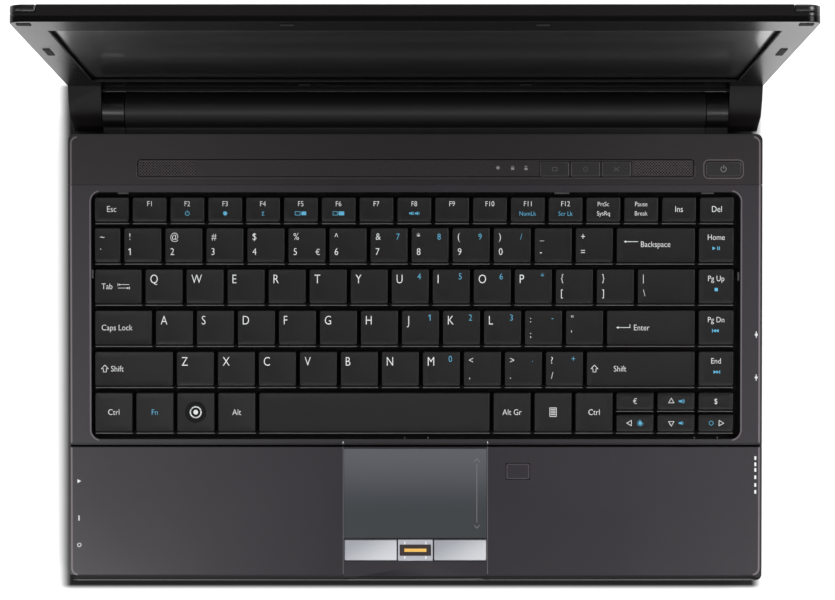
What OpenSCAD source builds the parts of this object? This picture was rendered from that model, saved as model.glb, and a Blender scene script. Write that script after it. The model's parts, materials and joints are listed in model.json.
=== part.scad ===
// Laptop computer with its lid open.
// Millimetres. +X is the user's right, +Y points to the hinges, +Z is up.
// The origin lies on the desk, under the middle of the whole open laptop.
// The deck is the top face of the base. In the deck's own frame Z = 0 is that face, Y = 0 is its
// rear edge, and the front edge has a negative Y. In the lid's own frame the origin is the hinge
// axis, Z runs up the lid and Y runs from the screen side to the back.

/* [Base] */
// Width of the base and of the lid
body_w = 322; // [316:1:400]
// Depth of the base, from its front edge to its rear edge
base_d = 207.6; // [205:0.02:260]
// Height of the deck's rear edge above the desk
rear_h = 24; // [24:0.2:32]
// Downward slope of the deck towards the front, in degrees
wedge = 1.4; // [0.8:0.1:1.6]
// Corner radius of the base seen from above
corner_r = 3; // [2.5:0.5:8]
// Wall thickness of the base shells
wall = 1.8; // [1.6:0.1:2.2]
// Depth of the seam between the upper and lower case, below the deck
seam_z = 6; // [5.5:0.1:7]
// Depth of the separate cover behind the keyboard
cover_d = 23.5; // [23:0.5:24.5]
// Height of the rubber feet
foot_h = 1.5; // [1:0.1:2]

/* [Keyboard] */
// Distance between the centres of two letter keys
key_pitch = 19.05; // [18:0.05:19.2]
// Gap between the top faces of two keys in a row
key_gap = 1.7; // [1.4:0.1:2.4]
// Depth of a letter key's top face
key_d = 16.2; // [15:0.1:16.6]
// Height of a keycap
key_h = 3.3; // [3:0.1:3.6]
// Thickness of a keycap's top
key_top = 1; // [0.8:0.1:1.2]
// Travel of a key
key_travel = 2.5; // [1.8:0.1:2.6]

/* [Touchpad] */
// Width of the touchpad
pad_w = 66.4; // [60:0.02:80]
// Depth of the touchpad
pad_d = 41.7; // [38:0.1:42]
// Depth of the two click buttons
click_d = 9.7; // [8:0.1:10]
// Width of each click button
click_w = 24.6; // [20:0.1:25]

/* [Hinge and battery] */
// Distance of the hinge axis behind the base
hinge_back = 11.4; // [11:0.1:13]
// Depth of the hinge axis below the deck
hinge_drop = 9.4; // [9.2:0.1:10]
// Radius of the round back of the battery
barrel_r = 8.7; // [8:0.1:8.8]
// Radius of the hinge pins
pin_r = 3; // [2.5:0.1:3.4]
// Radial clearance of a hinge pin in its bracket
pin_gap = 0.05; // [0.02:0.01:0.08]
// Width of each hinge block beside the battery
hinge_w = 10.4; // [9:0.1:12]
// Width of each lower corner block of the lid
chin_w = 15.3; // [15:0.1:18]

/* [Lid] */
// Height of the lid above the hinge axis
lid_h = 219; // [216:1:272]
// Thickness of the lid
lid_t = 7; // [6.5:0.1:9]
// Backward lean of the open lid from upright, in degrees
lean = 3; // [0:1:30]
// Width of the visible screen
screen_w = 296; // [270:1:297]
// Height of the visible screen
screen_h = 166.5; // [150:0.5:168]
// Height of the frame below the screen
chin_h = 15; // [13:0.5:20]
// Depth of the screen behind the face of the frame
screen_sink = 1.8; // [1.2:0.1:2]
// Radius of the lid's top corners
lid_r = 6; // [4:0.5:10]
// Gap between the closed lid and the deck
lid_gap = 0.5; // [0.4:0.1:1]

/* [Hidden] */
$fn = 48;
eps = 0.01;
over = 1;            // how far a cutting shape runs past the face it cuts
fit = 0.3;           // clearance of a loose part in its opening
half_w = body_w / 2;

// Lid, in its own frame: v is the distance behind the hinge axis, u the height above it
face_v = hinge_drop + lid_gap;
back_v = face_v + lid_t;
bezel_v = face_v + 2.5;         // seam between the frame and the back shell
bezel_skin = 1.6;
lid_skin = 1.5;
lid_rim = 1.6;
lid_foot_u = hinge_back + 0.4;  // lower edge of the frame
skirt_u = -2;                   // lower edge of the lid behind the battery
screen_u = lid_foot_u + chin_h;
panel_border = 2;
panel_v = face_v + screen_sink;
panel_t = 3.2;

// Places of the deck and of the hinge axis above the desk
lid_reach = hinge_back * cos(wedge) + hinge_drop * sin(wedge)
          + lid_h * sin(lean) + back_v * cos(lean);
base_reach = base_d * cos(wedge) - sin(wedge);
deck_y = (base_reach - lid_reach) / 2;
axis_y = deck_y + hinge_back * cos(wedge) + hinge_drop * sin(wedge);
axis_z = rear_h + hinge_back * sin(wedge) - hinge_drop * cos(wedge);

// Depth of the underside below the deck at a place y, raised by an amount into the case
function under(y, up = 0) = (foot_h + up - rear_h - y * sin(wedge)) / cos(wedge);

// Keyboard layout. Each row is a list of key widths in pitches.
row_units = 15.66;
last_unit = 0.945;
function_row = [for (i = [1:17]) row_units / 17];
number_row = concat([0.715], [for (i = [1:12]) 1], [2, last_unit]);
top_row = concat([1.23], [for (i = [1:12]) 1], [1.485, last_unit]);
home_row = concat([1.48], [for (i = [1:11]) 1], [2.235, last_unit]);
lower_row = concat([1.99], [for (i = [1:10]) 1], [2.725, last_unit]);
bottom_row = [1, 1, 1, 1, row_units - 9 - last_unit, 1, 1, 1, 1, 1, last_unit];
space_key = 4;       // place of the space bar in the bottom row
first_half_key = 8;  // the last three places of the bottom row hold keys of half depth
function sum_to(list, n, i = 0) = i >= n ? 0 : list[i] + sum_to(list, n, i + 1);
keys_w = row_units * key_pitch;
keys_x = -keys_w / 2 + 0.35;
row_pitch = 19.15;
keys_y = -29.2;
function_d = 11.6;
function_gap = 2.6;
bottom_d = 18.3;
half_gap = 2;
half_d = (bottom_d - half_gap) / 2;
row_0 = keys_y;
row_1 = row_0 - function_d - function_gap;
row_2 = row_1 - row_pitch;
row_3 = row_2 - row_pitch;
row_4 = row_3 - row_pitch;
row_5 = row_4 - row_pitch;
keys_front = row_5 - bottom_d;
key_z = -0.3;        // top face of the keys, below the deck
skirt_x = 0.4;       // how much wider a keycap is at its foot, on each side
skirt_back = 0.4;
skirt_front = 0.9;
key_wall = 0.8;
plate_top = key_z - key_h - key_travel - 0.3;
plate_t = 1.1;
dome_h = -plate_top + key_z - key_top - 0.2;

// Keyboard well in the upper case
well_x0 = keys_x - 1.6;
well_x1 = keys_x + keys_w - key_gap + 3.1;
well_y0 = keys_front - 3.4;
well_y1 = keys_y + 2.3;
well_wall = 1.5;
ledge = 3;
ledge_z = plate_top - plate_t;

// Cover behind the keyboard
strip_x0 = -half_w + 32.4;
strip_x1 = half_w - 32;
strip_y0 = -19.8;
strip_y1 = -12;
strip_t = 1;
grille_w = 26.6;
grille_d = 6.6;
grille_sink = 0.4;
launch_x = strip_x1 - 71.2;
launch_w = 13.6;
launch_step = 14.3;
power_x0 = half_w - 26.5;
power_x1 = half_w - 9.7;
button_y0 = -19.8;
button_y1 = -12.8;
button_up = 0.2;

// Palm rest
pad_y1 = well_y0 - 4.4;
pad_y0 = pad_y1 - pad_d;
click_y1 = pad_y0 - 0.7;
click_y0 = click_y1 - click_d;
groove_d = 0.4;
reader_half = 8.1;
lock_x = 42.3;
lock_y = pad_y1 - 7;
lock_w = 10.7;
lock_d = 7.1;
key_floor = 2.5;     // depth of the buttons below the deck

// Battery and hinges
batt_half = half_w - chin_w - hinge_w - 0.5;
chin_x = half_w - chin_w;
cap_x0 = batt_half + 0.3;
cap_x1 = chin_x - 0.5;
bay_gap = 0.4;
bay_d = 21.6;
bay_top = -8.2;
arm_x0 = chin_x + 1.5;
arm_x1 = arm_x0 + 2;
arm_boss_r = 4.6;
bracket_r = 5.6;

// Ports and inner parts, in the deck frame
board_z1 = -9.4;
board_z0 = -10.8;
port_top = board_z0 - 0.1;
port_sink = 0.2;
usb_w = 13.1;
usb_h = 5.3;
usb_d = 14;
left_usb_y = -161.4;
mic_y = -178.4;
headphone_y = -190.9;
right_usb = [-93.1, -112.1];
jack_r = 1.8;
jack_w = 7;
jack_h = 5;
jack_d = 13;
jack_z = port_top - jack_h / 2;
card_y0 = -168;
card_y1 = -146;
card_h = 3.6;
net_y = -62;
net_w = 15.4;
net_h = 8;
display_y = -112;
display_w = 17;
display_h = 6;
power_in_y = -34;
power_in_w = 9;
power_in_h = 8;
fan_x = -half_w + 35;
fan_y = -76;
fan_half = 24;
fan_z1 = -10.8;
fan_z0 = under(fan_y - fan_half, wall) + 0.36;
rotor_r = 20;
fins_x = [-half_w + 4, -half_w + 9.5];
drive_x = 20;
drive_y = -199;
drive_z = under(drive_y, wall) + 0.25;

// ---------- small shapes ----------
module box(x, y, z) {
  translate([x[0], y[0], z[0]]) cube([x[1] - x[0], y[1] - y[0], z[1] - z[0]]);
}
module round_rect(w, d, r) {
  square([w - 2 * r, d], center = true);
  square([w, d - 2 * r], center = true);
  for (sx = [-1, 1], sy = [-1, 1])
    translate([sx * (w / 2 - r), sy * (d / 2 - r)]) circle(r);
}
module round_box(x, y, z, r) {
  translate([(x[0] + x[1]) / 2, (y[0] + y[1]) / 2, z[0]])
    linear_extrude(z[1] - z[0]) round_rect(x[1] - x[0], y[1] - y[0], r);
}
// A profile drawn in Y and Z, run along X from x0 to x1
module along_x(x0, x1) {
  translate([x0, 0, 0]) rotate([90, 0, 90]) linear_extrude(x1 - x0) children();
}
// A profile drawn in X and Z, run along Y from y0 to y1
module along_y(y0, y1) {
  translate([0, y1, 0]) rotate([90, 0, 0]) linear_extrude(y1 - y0) children();
}
module in_deck() {
  translate([0, deck_y, rear_h]) rotate([wedge, 0, 0]) children();
}
module in_lid() {
  translate([0, axis_y, axis_z]) rotate([-lean, 0, 0]) children();
}
// Places a part that is drawn for the right side on the left or the right
module on_side(s) {
  if (s > 0) children();
  else mirror([1, 0, 0]) children();
}

// ---------- base shells ----------
module base_plan(inset) {
  translate([0, -base_d / 2])
    round_rect(body_w - 2 * inset, base_d - 2 * inset, max(corner_r - inset, 0.5));
}
module base_block(z0, z1, inset) {
  translate([0, 0, z0]) linear_extrude(z1 - z0) base_plan(inset);
}
// Side profile of the lower case, with a chamfer along the lower front and rear edges
module tub_profile(up, edge, top) {
  front = -base_d;
  polygon([
    [over, top], [front - over, top], [front - over, under(front) + edge + up],
    [front, under(front) + edge + up], [front + edge, under(front + edge, up)],
    [-edge / 2, under(-edge / 2, up)], [0, under(0, up) + edge / 2],
    [over, under(0, up) + edge / 2]
  ]);
}
module tub_solid(up, inset, top) {
  intersection() {
    base_block(-rear_h, top, inset);
    along_x(-half_w - over, half_w + over) tub_profile(up, 4, top);
  }
}
module bay_box(grow, top) {
  box([-batt_half - grow, batt_half + grow], [-bay_d - grow, over], [-rear_h - over, top]);
}
module port_cuts() {
  out = half_w + over;
  in = half_w - 2 * wall;
  grow = fit;
  // left side
  box([-out, -in], [left_usb_y - usb_w / 2 - grow, left_usb_y + usb_w / 2 + grow],
      [port_top - usb_h - grow, port_top + grow]);
  for (y = [mic_y, headphone_y])
    translate([-out, y, jack_z]) rotate([0, 90, 0]) cylinder(r = jack_r + 1.4, h = out - in);
  box([-out, -in], [display_y - display_w / 2 - grow, display_y + display_w / 2 + grow],
      [port_top - display_h - grow, port_top + grow]);
  for (i = [-4:4])
    box([-out, -in], [fan_y + i * 4.8 - 1.3, fan_y + i * 4.8 + 1.3], [fan_z0 + 1, fan_z1 - 0.4]);
  // right side
  for (y = right_usb)
    box([in, out], [y - usb_w / 2 - grow, y + usb_w / 2 + grow],
        [port_top - usb_h - grow, port_top + grow]);
  box([in, out], [card_y0 - grow, card_y1 + grow], [port_top - card_h - grow, port_top + grow]);
  box([in, out], [net_y - net_w / 2 - grow, net_y + net_w / 2 + grow],
      [port_top - net_h - grow, port_top + grow]);
  box([in, out], [power_in_y - power_in_w / 2 - grow, power_in_y + power_in_w / 2 + grow],
      [port_top - power_in_h - grow, port_top + grow]);
}

// Screws of the underside: place, in X and in Y of the deck frame
screw_places = [
  [-half_w + 8, -base_d + 7], [0, -base_d + 12], [half_w - 8, -base_d + 7],
  [-half_w + 12, -base_d / 2 - 24], [half_w - 12, -base_d / 2 - 24],
  [-70, -34], [70, -34]
];
hatch_x = [-74, 22];
hatch_y = [-130, -86];
hatch_screws = [[hatch_x[0] + 6, (hatch_y[0] + hatch_y[1]) / 2],
                [hatch_x[1] - 6, (hatch_y[0] + hatch_y[1]) / 2]];
screw_head_r = 2.4;
screw_head_h = 0.9;
screw_r = 1.2;
hatch_t = 0.9;
latch_y = -42;
latch_x = 40;
latch_w = 12;
latch_d = 5;
latch_travel = 6;

// Stands upright on the underside, at a place of the deck frame
module on_floor(place) {
  translate([place[0], deck_y + place[1] * cos(wedge) - under(place[1]) * sin(wedge), foot_h])
    children();
}
module lower_case() {
  color([0.13, 0.13, 0.14]) difference() {
    union() {
      in_deck() difference() {
        tub_solid(0, 0, -seam_z);
        tub_solid(wall, wall, -seam_z + over);
      }
      // walls and ceiling of the battery bay
      in_deck() intersection() {
        tub_solid(0, 0, -seam_z);
        bay_box(bay_gap + wall, -seam_z - 0.4);
      }
      // seats of the hinge brackets
      for (s = [-1, 1]) in_deck() on_side(s) intersection() {
        tub_solid(0, 0, -seam_z);
        box([cap_x0 + 3, cap_x1 - 0.5], [-20, -8], [-rear_h, -hinge_drop - 1.6]);
      }
    }
    in_deck() bay_box(bay_gap, bay_top + fit);
    in_deck() port_cuts();
    // slots for the hinge brackets in the rear wall
    for (s = [-1, 1]) in_deck() on_side(s)
      box([cap_x0 + 2.1, cap_x1 + 0.2], [-wall - over, over], [-hinge_drop - 1.9, -hinge_drop + 1.9]);
    // service hatch, with a ledge inside
    on_floor([0, 0]) {
      translate([0, hatch_low()[1], -over]) box(hatch_x, [0, hatch_size()[1]], [0, over + hatch_t]);
      translate([0, hatch_low()[1], 0])
        box([hatch_x[0] + 3, hatch_x[1] - 3], [3, hatch_size()[1] - 3], [0, wall + over]);
    }
    for (p = concat(screw_places, hatch_screws)) on_floor(p) {
      translate([0, 0, -over]) cylinder(r = screw_head_r + fit, h = over + screw_head_h);
      translate([0, 0, -over]) cylinder(r = screw_r + fit, h = 3 * wall);
    }
    for (s = [-1, 1]) on_floor([s * latch_x, latch_y])
      box([-latch_w / 2 - fit, latch_w / 2 + latch_travel + fit],
          [-latch_d / 2 - fit, latch_d / 2 + fit], [-over, wall + over]);
    // air intake under the fan
    for (i = [-4:4]) on_floor([fan_x, fan_y + i * 3.6])
      box([-sqrt(256 - i * i * 12), sqrt(256 - i * i * 12)], [-0.8, 0.8], [-over, wall + over]);
  }
}
function hatch_size() = [hatch_x[1] - hatch_x[0], hatch_y[1] - hatch_y[0]];
function hatch_low() = [hatch_x[0], hatch_y[0]];

module upper_case() {
  rim_y = -cover_d - 0.2;
  color([0.22, 0.21, 0.23]) in_deck() difference() {
    union() {
      difference() {
        base_block(-seam_z, 0, 0);
        difference() {
          base_block(-seam_z - over, -wall, wall);
          box([-half_w, half_w], [rim_y - wall, over], [-seam_z - 2 * over, over]);
        }
      }
      // walls of the keyboard well, with the ledge that carries the keyboard
      box([well_x0 - well_wall, well_x1 + well_wall], [well_y0 - well_wall, well_y1 + well_wall],
          [ledge_z - 1.1, -wall / 2]);
    }
    box([-half_w - over, half_w + over], [rim_y, over], [-rear_h, over]);
    round_box([well_x0, well_x1], [well_y0, well_y1], [ledge_z, over], 4.4);
    box([well_x0 + ledge, well_x1 - ledge], [well_y0 + ledge, well_y1 - ledge],
        [-rear_h, over]);
    // step in front of the keyboard, and the two grooves beside the touchpad
    box([-half_w - over, half_w + over], [well_y0 - 3.8, well_y0 - 1.9], [-groove_d, over]);
    for (s = [-1, 1])
      box([s * (pad_w / 2 + 0.4) - 0.25, s * (pad_w / 2 + 0.4) + 0.25],
          [-base_d - over, well_y0 - 1], [-groove_d, over]);
    // pocket of the touchpad
    box([-pad_w / 2 - 0.15, pad_w / 2 + 0.15], [pad_y0 - 0.15, pad_y1 + 0.15], [-1.3, over]);
    // openings of the click buttons, the reader and the lock button
    for (s = [-1, 1]) on_side(s)
      box([pad_w / 2 - click_w - fit, pad_w / 2 + 0.1], [click_y0 - fit, click_y1 + fit],
          [-seam_z, over]);
    box([-reader_half - 0.1, reader_half + 0.1], [click_y0 - 0.2, click_y1 + 0.1],
        [-seam_z, over]);
    box([lock_x - fit, lock_x + lock_w + fit], [lock_y - lock_d - fit, lock_y + fit],
        [-seam_z, over]);
  }
}

module middle_cover() {
  color([0.19, 0.19, 0.21]) in_deck() difference() {
    intersection() {
      base_block(-seam_z, 0, 0);
      box([-half_w, half_w], [-cover_d, over], [-seam_z, over]);
    }
    box([-half_w + wall, half_w - wall], [-cover_d + wall, -wall], [-seam_z - over, -wall - 0.2]);
    box([strip_x0 - 0.1, strip_x1 + 0.1], [strip_y0 - 0.1, strip_y1 + 0.1], [-strip_t, over]);
    box([launch_x - fit, launch_x + 2 * launch_step + launch_w + fit],
        [button_y0 - fit / 2, button_y1 + fit], [-seam_z, over]);
    box([power_x0 - fit, power_x1 + fit], [button_y0 - fit, button_y1 + fit], [-seam_z, over]);
    for (x = grille_x()) for (i = [0:5])
      box([x + 2 + i * 4, x + 4 + i * 4], [strip_y0 + 1.4, strip_y1 - 1.4], [-seam_z, over]);
  }
}
function grille_x() = [strip_x0 + 0.6, strip_x1 - 0.6 - grille_w];
module control_strip() {
  mid = (strip_y0 + strip_y1) / 2;
  color([0.12, 0.12, 0.13]) in_deck() difference() {
    round_box([strip_x0, strip_x1], [strip_y0, strip_y1], [-strip_t, 0.1], 1.5);
    for (i = [0:2])
      box([launch_x + i * launch_step - fit, launch_x + i * launch_step + launch_w + fit],
          [button_y0 - fit / 2, button_y1 + fit], [-seam_z, over]);
    for (x = grille_x())
      box([x, x + grille_w], [mid - grille_d / 2, mid + grille_d / 2], [-grille_sink, over]);
  }
}

// ---------- keys ----------
module keycap_shape(x0, x1, y0, y1, z1, h, shrink) {
  intersection() {
    along_x(x0 - over, x1 + over) polygon([
      [y0 + shrink, z1], [y0 - skirt_front + shrink, z1 - h],
      [y1 + skirt_back - shrink, z1 - h], [y1 - shrink, z1]
    ]);
    along_y(y0 - over, y1 + over) polygon([
      [x0 + shrink, z1], [x0 - skirt_x + shrink, z1 - h],
      [x1 + skirt_x - shrink, z1 - h], [x1 - shrink, z1]
    ]);
  }
}
module keycap(x0, x1, y0, y1) {
  difference() {
    keycap_shape(x0, x1, y0, y1, key_z, key_h, 0);
    translate([0, 0, -eps])
      keycap_shape(x0, x1, y0, y1, key_z - key_top, key_h - key_top, key_wall);
  }
}
function key_left(row, i) = keys_x + sum_to(row, i) * key_pitch;
function key_right(row, i) = keys_x + sum_to(row, i + 1) * key_pitch - key_gap;
module key_row(row, from, to, y1, d) {
  for (i = [from:to]) keycap(key_left(row, i), key_right(row, i), y1 - d, y1);
}
module key_colour() {
  color([0.14, 0.13, 0.14]) in_deck() children();
}
module function_keys() {
  key_colour() key_row(function_row, 0, 16, row_0, function_d);
}
module number_keys() {
  key_colour() key_row(number_row, 0, 13, row_1, key_d);
}
module top_letter_keys() {
  key_colour() key_row(top_row, 0, 13, row_2, key_d);
}
module home_letter_keys() {
  key_colour() key_row(home_row, 0, 12, row_3, key_d);
}
module lower_letter_keys() {
  key_colour() key_row(lower_row, 0, 11, row_4, key_d);
}
module bottom_row_keys() {
  key_colour() {
    key_row(bottom_row, 0, 3, row_5, bottom_d);
    key_row(bottom_row, 5, 7, row_5, bottom_d);
  }
}
module space_bar() {
  key_colour() key_row(bottom_row, space_key, space_key, row_5, bottom_d);
}
module arrow_keys() {
  key_colour() {
    key_row(bottom_row, first_half_key, 10, row_5, half_d);
    key_row(bottom_row, first_half_key, 10, row_5 - half_d - half_gap, half_d);
  }
}
module navigation_keys() {
  key_colour() {
    key_row(number_row, 14, 14, row_1, key_d);
    key_row(top_row, 14, 14, row_2, key_d);
    key_row(home_row, 13, 13, row_3, key_d);
    key_row(lower_row, 12, 12, row_4, key_d);
  }
}
// Runs a part once at the middle of every key, with its centre and depth
module at_keys(row, from, to, y1, d) {
  for (i = [from:to])
    translate([(key_left(row, i) + key_right(row, i)) / 2, y1 - d / 2, plate_top]) children();
}
module at_every_key() {
  at_keys(function_row, 0, 16, row_0, function_d) children();
  at_keys(number_row, 0, 14, row_1, key_d) children();
  at_keys(top_row, 0, 14, row_2, key_d) children();
  at_keys(home_row, 0, 13, row_3, key_d) children();
  at_keys(lower_row, 0, 12, row_4, key_d) children();
  at_keys(bottom_row, 0, 7, row_5, bottom_d) children();
  at_keys(bottom_row, first_half_key, 10, row_5, half_d) children();
  at_keys(bottom_row, first_half_key, 10, row_5 - half_d - half_gap, half_d) children();
}
module rubber_domes() {
  color([0.75, 0.75, 0.72]) in_deck() at_every_key() {
    cylinder(r = 2, h = 1.2);
    cylinder(r = 1.2, h = dome_h);
  }
}
// One crossed pair of arms, on each side of the dome, between the plate and the keycap
link_l = 10;
link_t = 0.7;
link_w = 0.8;
module scissor_links() {
  tilt = asin((dome_h - 1) / link_l);
  color([0.85, 0.85, 0.85]) in_deck() at_every_key() for (s = [-1, 1])
    translate([0, s * 2.5 - link_w / 2, dome_h / 2]) along_y(0, link_w) for (t = [-tilt, tilt])
      rotate(t) square([link_l, link_t], center = true);
}
module keyboard_plate() {
  gap = 0.2;
  color([0.08, 0.08, 0.08]) in_deck()
    round_box([well_x0 + gap, well_x1 - gap], [well_y0 + gap, well_y1 - gap],
              [ledge_z, plate_top], 4.4 - gap);
}

// ---------- parts on the deck ----------
module touchpad_panel() {
  color([0.3, 0.33, 0.36]) in_deck()
    box([-pad_w / 2, pad_w / 2], [pad_y0, pad_y1], [-1.3, -0.2]);
}
module click_button(s) {
  color([0.75, 0.75, 0.77]) in_deck() on_side(s)
    box([pad_w / 2 - click_w, pad_w / 2 - 0.2], [click_y0, click_y1], [-key_floor, button_up]);
}
module left_click_button() { click_button(-1); }
module right_click_button() { click_button(1); }
module fingerprint_reader() {
  mid = (click_y0 + click_y1) / 2;
  color([0.55, 0.56, 0.6]) in_deck() difference() {
    box([-reader_half, reader_half], [click_y0 - 0.1, click_y1], [-key_floor, 0]);
    box([-7.2, 7.2], [mid - 2.6, mid + 2.6], [-0.5, over]);
  }
}
module touchpad_lock_button() {
  color([0.2, 0.2, 0.22]) in_deck()
    box([lock_x, lock_x + lock_w], [lock_y - lock_d, lock_y], [-key_floor, button_up]);
}
module launch_button(i) {
  x = launch_x + i * launch_step;
  color([0.16, 0.16, 0.17]) in_deck()
    box([x, x + launch_w], [button_y0, button_y1], [-key_floor, button_up]);
}
module launch_button_1() { launch_button(0); }
module launch_button_2() { launch_button(1); }
module launch_button_3() { launch_button(2); }
module power_button() {
  color([0.2, 0.2, 0.22]) in_deck()
    box([power_x0, power_x1], [button_y0, button_y1], [-key_floor, button_up]);
}

// ---------- hinges and battery ----------
module hinge_profile(r) {
  translate([hinge_back, -hinge_drop]) circle(r);
  polygon([
    [0.05, -hinge_drop - 7.4], [hinge_back, -hinge_drop - r], [hinge_back, -hinge_drop],
    [3, -hinge_drop + 2.6], [0.05, -hinge_drop + 2.9]
  ]);
}
module battery_pack() {
  color([0.15, 0.15, 0.16]) in_deck() {
    along_x(-batt_half, batt_half) hinge_profile(barrel_r);
    along_x(-batt_half, batt_half) polygon([
      [-bay_d, under(-bay_d)], [-bay_d, bay_top], [0.5, bay_top],
      [0.5, under(0) + 2.5], [-2, under(-2)]
    ]);
  }
}
module hinge_cap(s) {
  color([0.1, 0.1, 0.11]) in_deck() on_side(s) difference() {
    along_x(cap_x0, cap_x1) hinge_profile(barrel_r);
    along_x(cap_x0 + 1.4, cap_x1 + over) translate([hinge_back, -hinge_drop])
      circle(bracket_r + fit);
    box([cap_x0 + 1.4, cap_x1 + over], [-over, hinge_back],
        [-hinge_drop - 1.5 - fit, -hinge_drop + 1.5 + fit]);
  }
}
module left_hinge_cap() { hinge_cap(-1); }
module right_hinge_cap() { hinge_cap(1); }
module hinge_bracket(s) {
  x0 = cap_x0 + 2.4;
  x1 = cap_x1 - 0.1;
  color([0.6, 0.6, 0.62]) in_deck() on_side(s) difference() {
    union() {
      along_x(x0, x1) translate([hinge_back, -hinge_drop]) circle(bracket_r);
      box([x0, x1], [-20, hinge_back], [-hinge_drop - 1.5, -hinge_drop + 1.5]);
    }
    along_x(x0 - over, x1 + over) translate([hinge_back, -hinge_drop]) circle(pin_r + pin_gap);
  }
}
module left_hinge_bracket() { hinge_bracket(-1); }
module right_hinge_bracket() { hinge_bracket(1); }
arm_v = bezel_v + 0.3;
arm_t = back_v - lid_skin - 0.3 - arm_v;
arm_turn_u = 20.5;
arm_top_u = 70;
arm_outer_x0 = screen_w / 2 + panel_border + 1.2;
arm_outer_x1 = half_w - lid_rim - 0.6;
// The plate of the arm beside the hinge, grown by an amount for the pocket that holds it
module arm_profile(grow) {
  circle(arm_boss_r + grow);
  polygon([
    [-1 - grow, arm_boss_r - 1], [arm_boss_r - 1, -2 - grow], [arm_v + arm_t + grow, 5 - grow],
    [arm_v + arm_t + grow, arm_turn_u], [arm_v - grow, arm_turn_u], [arm_v - grow, 10 + grow]
  ]);
}
module hinge_arm(s) {
  color([0.62, 0.62, 0.64]) in_lid() on_side(s) {
    along_x(cap_x0 + 3, arm_x0 + eps) circle(pin_r);
    along_x(arm_x0, arm_x1) arm_profile(0);
    box([arm_x0, arm_outer_x1], [arm_v, arm_v + arm_t], [14, arm_turn_u]);
    box([arm_outer_x0, arm_outer_x1], [arm_v, arm_v + arm_t], [14, arm_top_u]);
  }
}
module left_hinge_arm() { hinge_arm(-1); }
module right_hinge_arm() { hinge_arm(1); }

// ---------- lid ----------
module lid_plan(inset, foot) {
  w = body_w - 2 * inset;
  h = lid_h - inset;
  r = lid_r - inset;
  translate([-w / 2, foot]) square([w, h - r - foot]);
  translate([-w / 2 + r, foot]) square([w - 2 * r, h - foot]);
  for (s = [-1, 1]) translate([s * (w / 2 - r), h - r]) circle(r);
}
module lid_slab(v0, v1, inset, foot) {
  along_y(v0, v1) lid_plan(inset, foot);
}
// Side profile of the lid's lower corner block
module chin_profile() {
  arc_r = hinge_back - 0.6;
  polygon(concat(
    [[face_v, lid_foot_u], [face_v, lid_foot_u - 0.9], [-3.5, 4.4]],
    [for (a = [208:9:244]) [arc_r * cos(a), arc_r * sin(a)]],
    [[1, -12.3], [8, -11], [14, -5.6], [back_v, 0], [back_v, lid_foot_u]]
  ));
}
module lid_back_solid() {
  skirt_top = lid_foot_u + lid_rim;
  lid_slab(bezel_v, back_v, 0, lid_foot_u);
  // skirt behind the battery
  along_x(-chin_x - eps, chin_x + eps) polygon([
    [face_v + 0.2, lid_foot_u], [face_v + 0.2, skirt_u + 1], [face_v + 1.2, skirt_u],
    [back_v - 1.4, skirt_u], [back_v, skirt_u + 2], [back_v, skirt_top],
    [bezel_v, skirt_top], [bezel_v, lid_foot_u]
  ]);
  for (s = [-1, 1]) on_side(s) intersection() {
    along_x(chin_x, half_w) chin_profile();
    along_y(-20, back_v + over) polygon([
      [chin_x, 20], [half_w, 20], [half_w, lid_foot_u - 4], [half_w - 2, -13], [chin_x, -13]
    ]);
  }
}
corner_x = half_w - 11;
corner_u = lid_h - 12;
corner_v = back_v - 3.2;
module lid_cover() {
  color([0.2, 0.2, 0.22]) in_lid() difference() {
    lid_back_solid();
    lid_slab(bezel_v - over, back_v - lid_skin, lid_rim, lid_foot_u + lid_rim);
    for (s = [-1, 1]) on_side(s) {
      along_x(arm_x0 - fit, arm_x1 + fit) arm_profile(fit);
      along_x(chin_x - over, arm_x0) circle(pin_r + fit);
      box([corner_x, half_w + over], [corner_v, back_v + over], [corner_u, lid_h + over]);
    }
    for (s = [-1, 1]) on_side(s)
      box([arm_x0 - fit, arm_outer_x1 + fit], [bezel_v - over, back_v - lid_skin],
          [lid_foot_u + 0.6, 16]);
  }
}
module lid_corner(s) {
  gap = 0.15;
  color([0.16, 0.16, 0.18]) in_lid() on_side(s) intersection() {
    lid_slab(corner_v + gap, back_v, 0, corner_u - over);
    box([corner_x + gap, half_w + over], [corner_v, back_v], [corner_u + gap, lid_h + over]);
  }
}
module left_lid_corner() { lid_corner(-1); }
module right_lid_corner() { lid_corner(1); }
module lid_bezel() {
  color([0.24, 0.23, 0.25]) in_lid() difference() {
    lid_slab(face_v, bezel_v, 0, lid_foot_u);
    lid_slab(face_v + bezel_skin, bezel_v + over, lid_rim, lid_foot_u + lid_rim);
    box([-screen_w / 2, screen_w / 2], [0, bezel_v + over], [screen_u, screen_u + screen_h]);
  }
}
module lcd_panel() {
  color([0.05, 0.05, 0.07]) in_lid()
    box([-screen_w / 2 - panel_border, screen_w / 2 + panel_border], [panel_v, panel_v + panel_t],
        [screen_u - panel_border, screen_u + screen_h + panel_border]);
}
bumper_h = 0.3;
module lid_bumpers() {
  v = [face_v - bumper_h, face_v];
  edge = (half_w + screen_w / 2) / 2 + 1;
  color([0.08, 0.08, 0.08]) in_lid() for (s = [-1, 1]) on_side(s) {
    box([half_w - 8.2, half_w - 2.5], v, [lid_h - 10, lid_h - 5]);
    box([48.3, 53.7], v, [lid_h - 10, lid_h - 6]);
    box([edge - 1.5, edge + 1.5], v, [lid_h / 2 + 10, lid_h / 2 + 30]);
    box([48.3, 53.7], v, [lid_foot_u + 3, lid_foot_u + 6]);
  }
}

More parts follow.
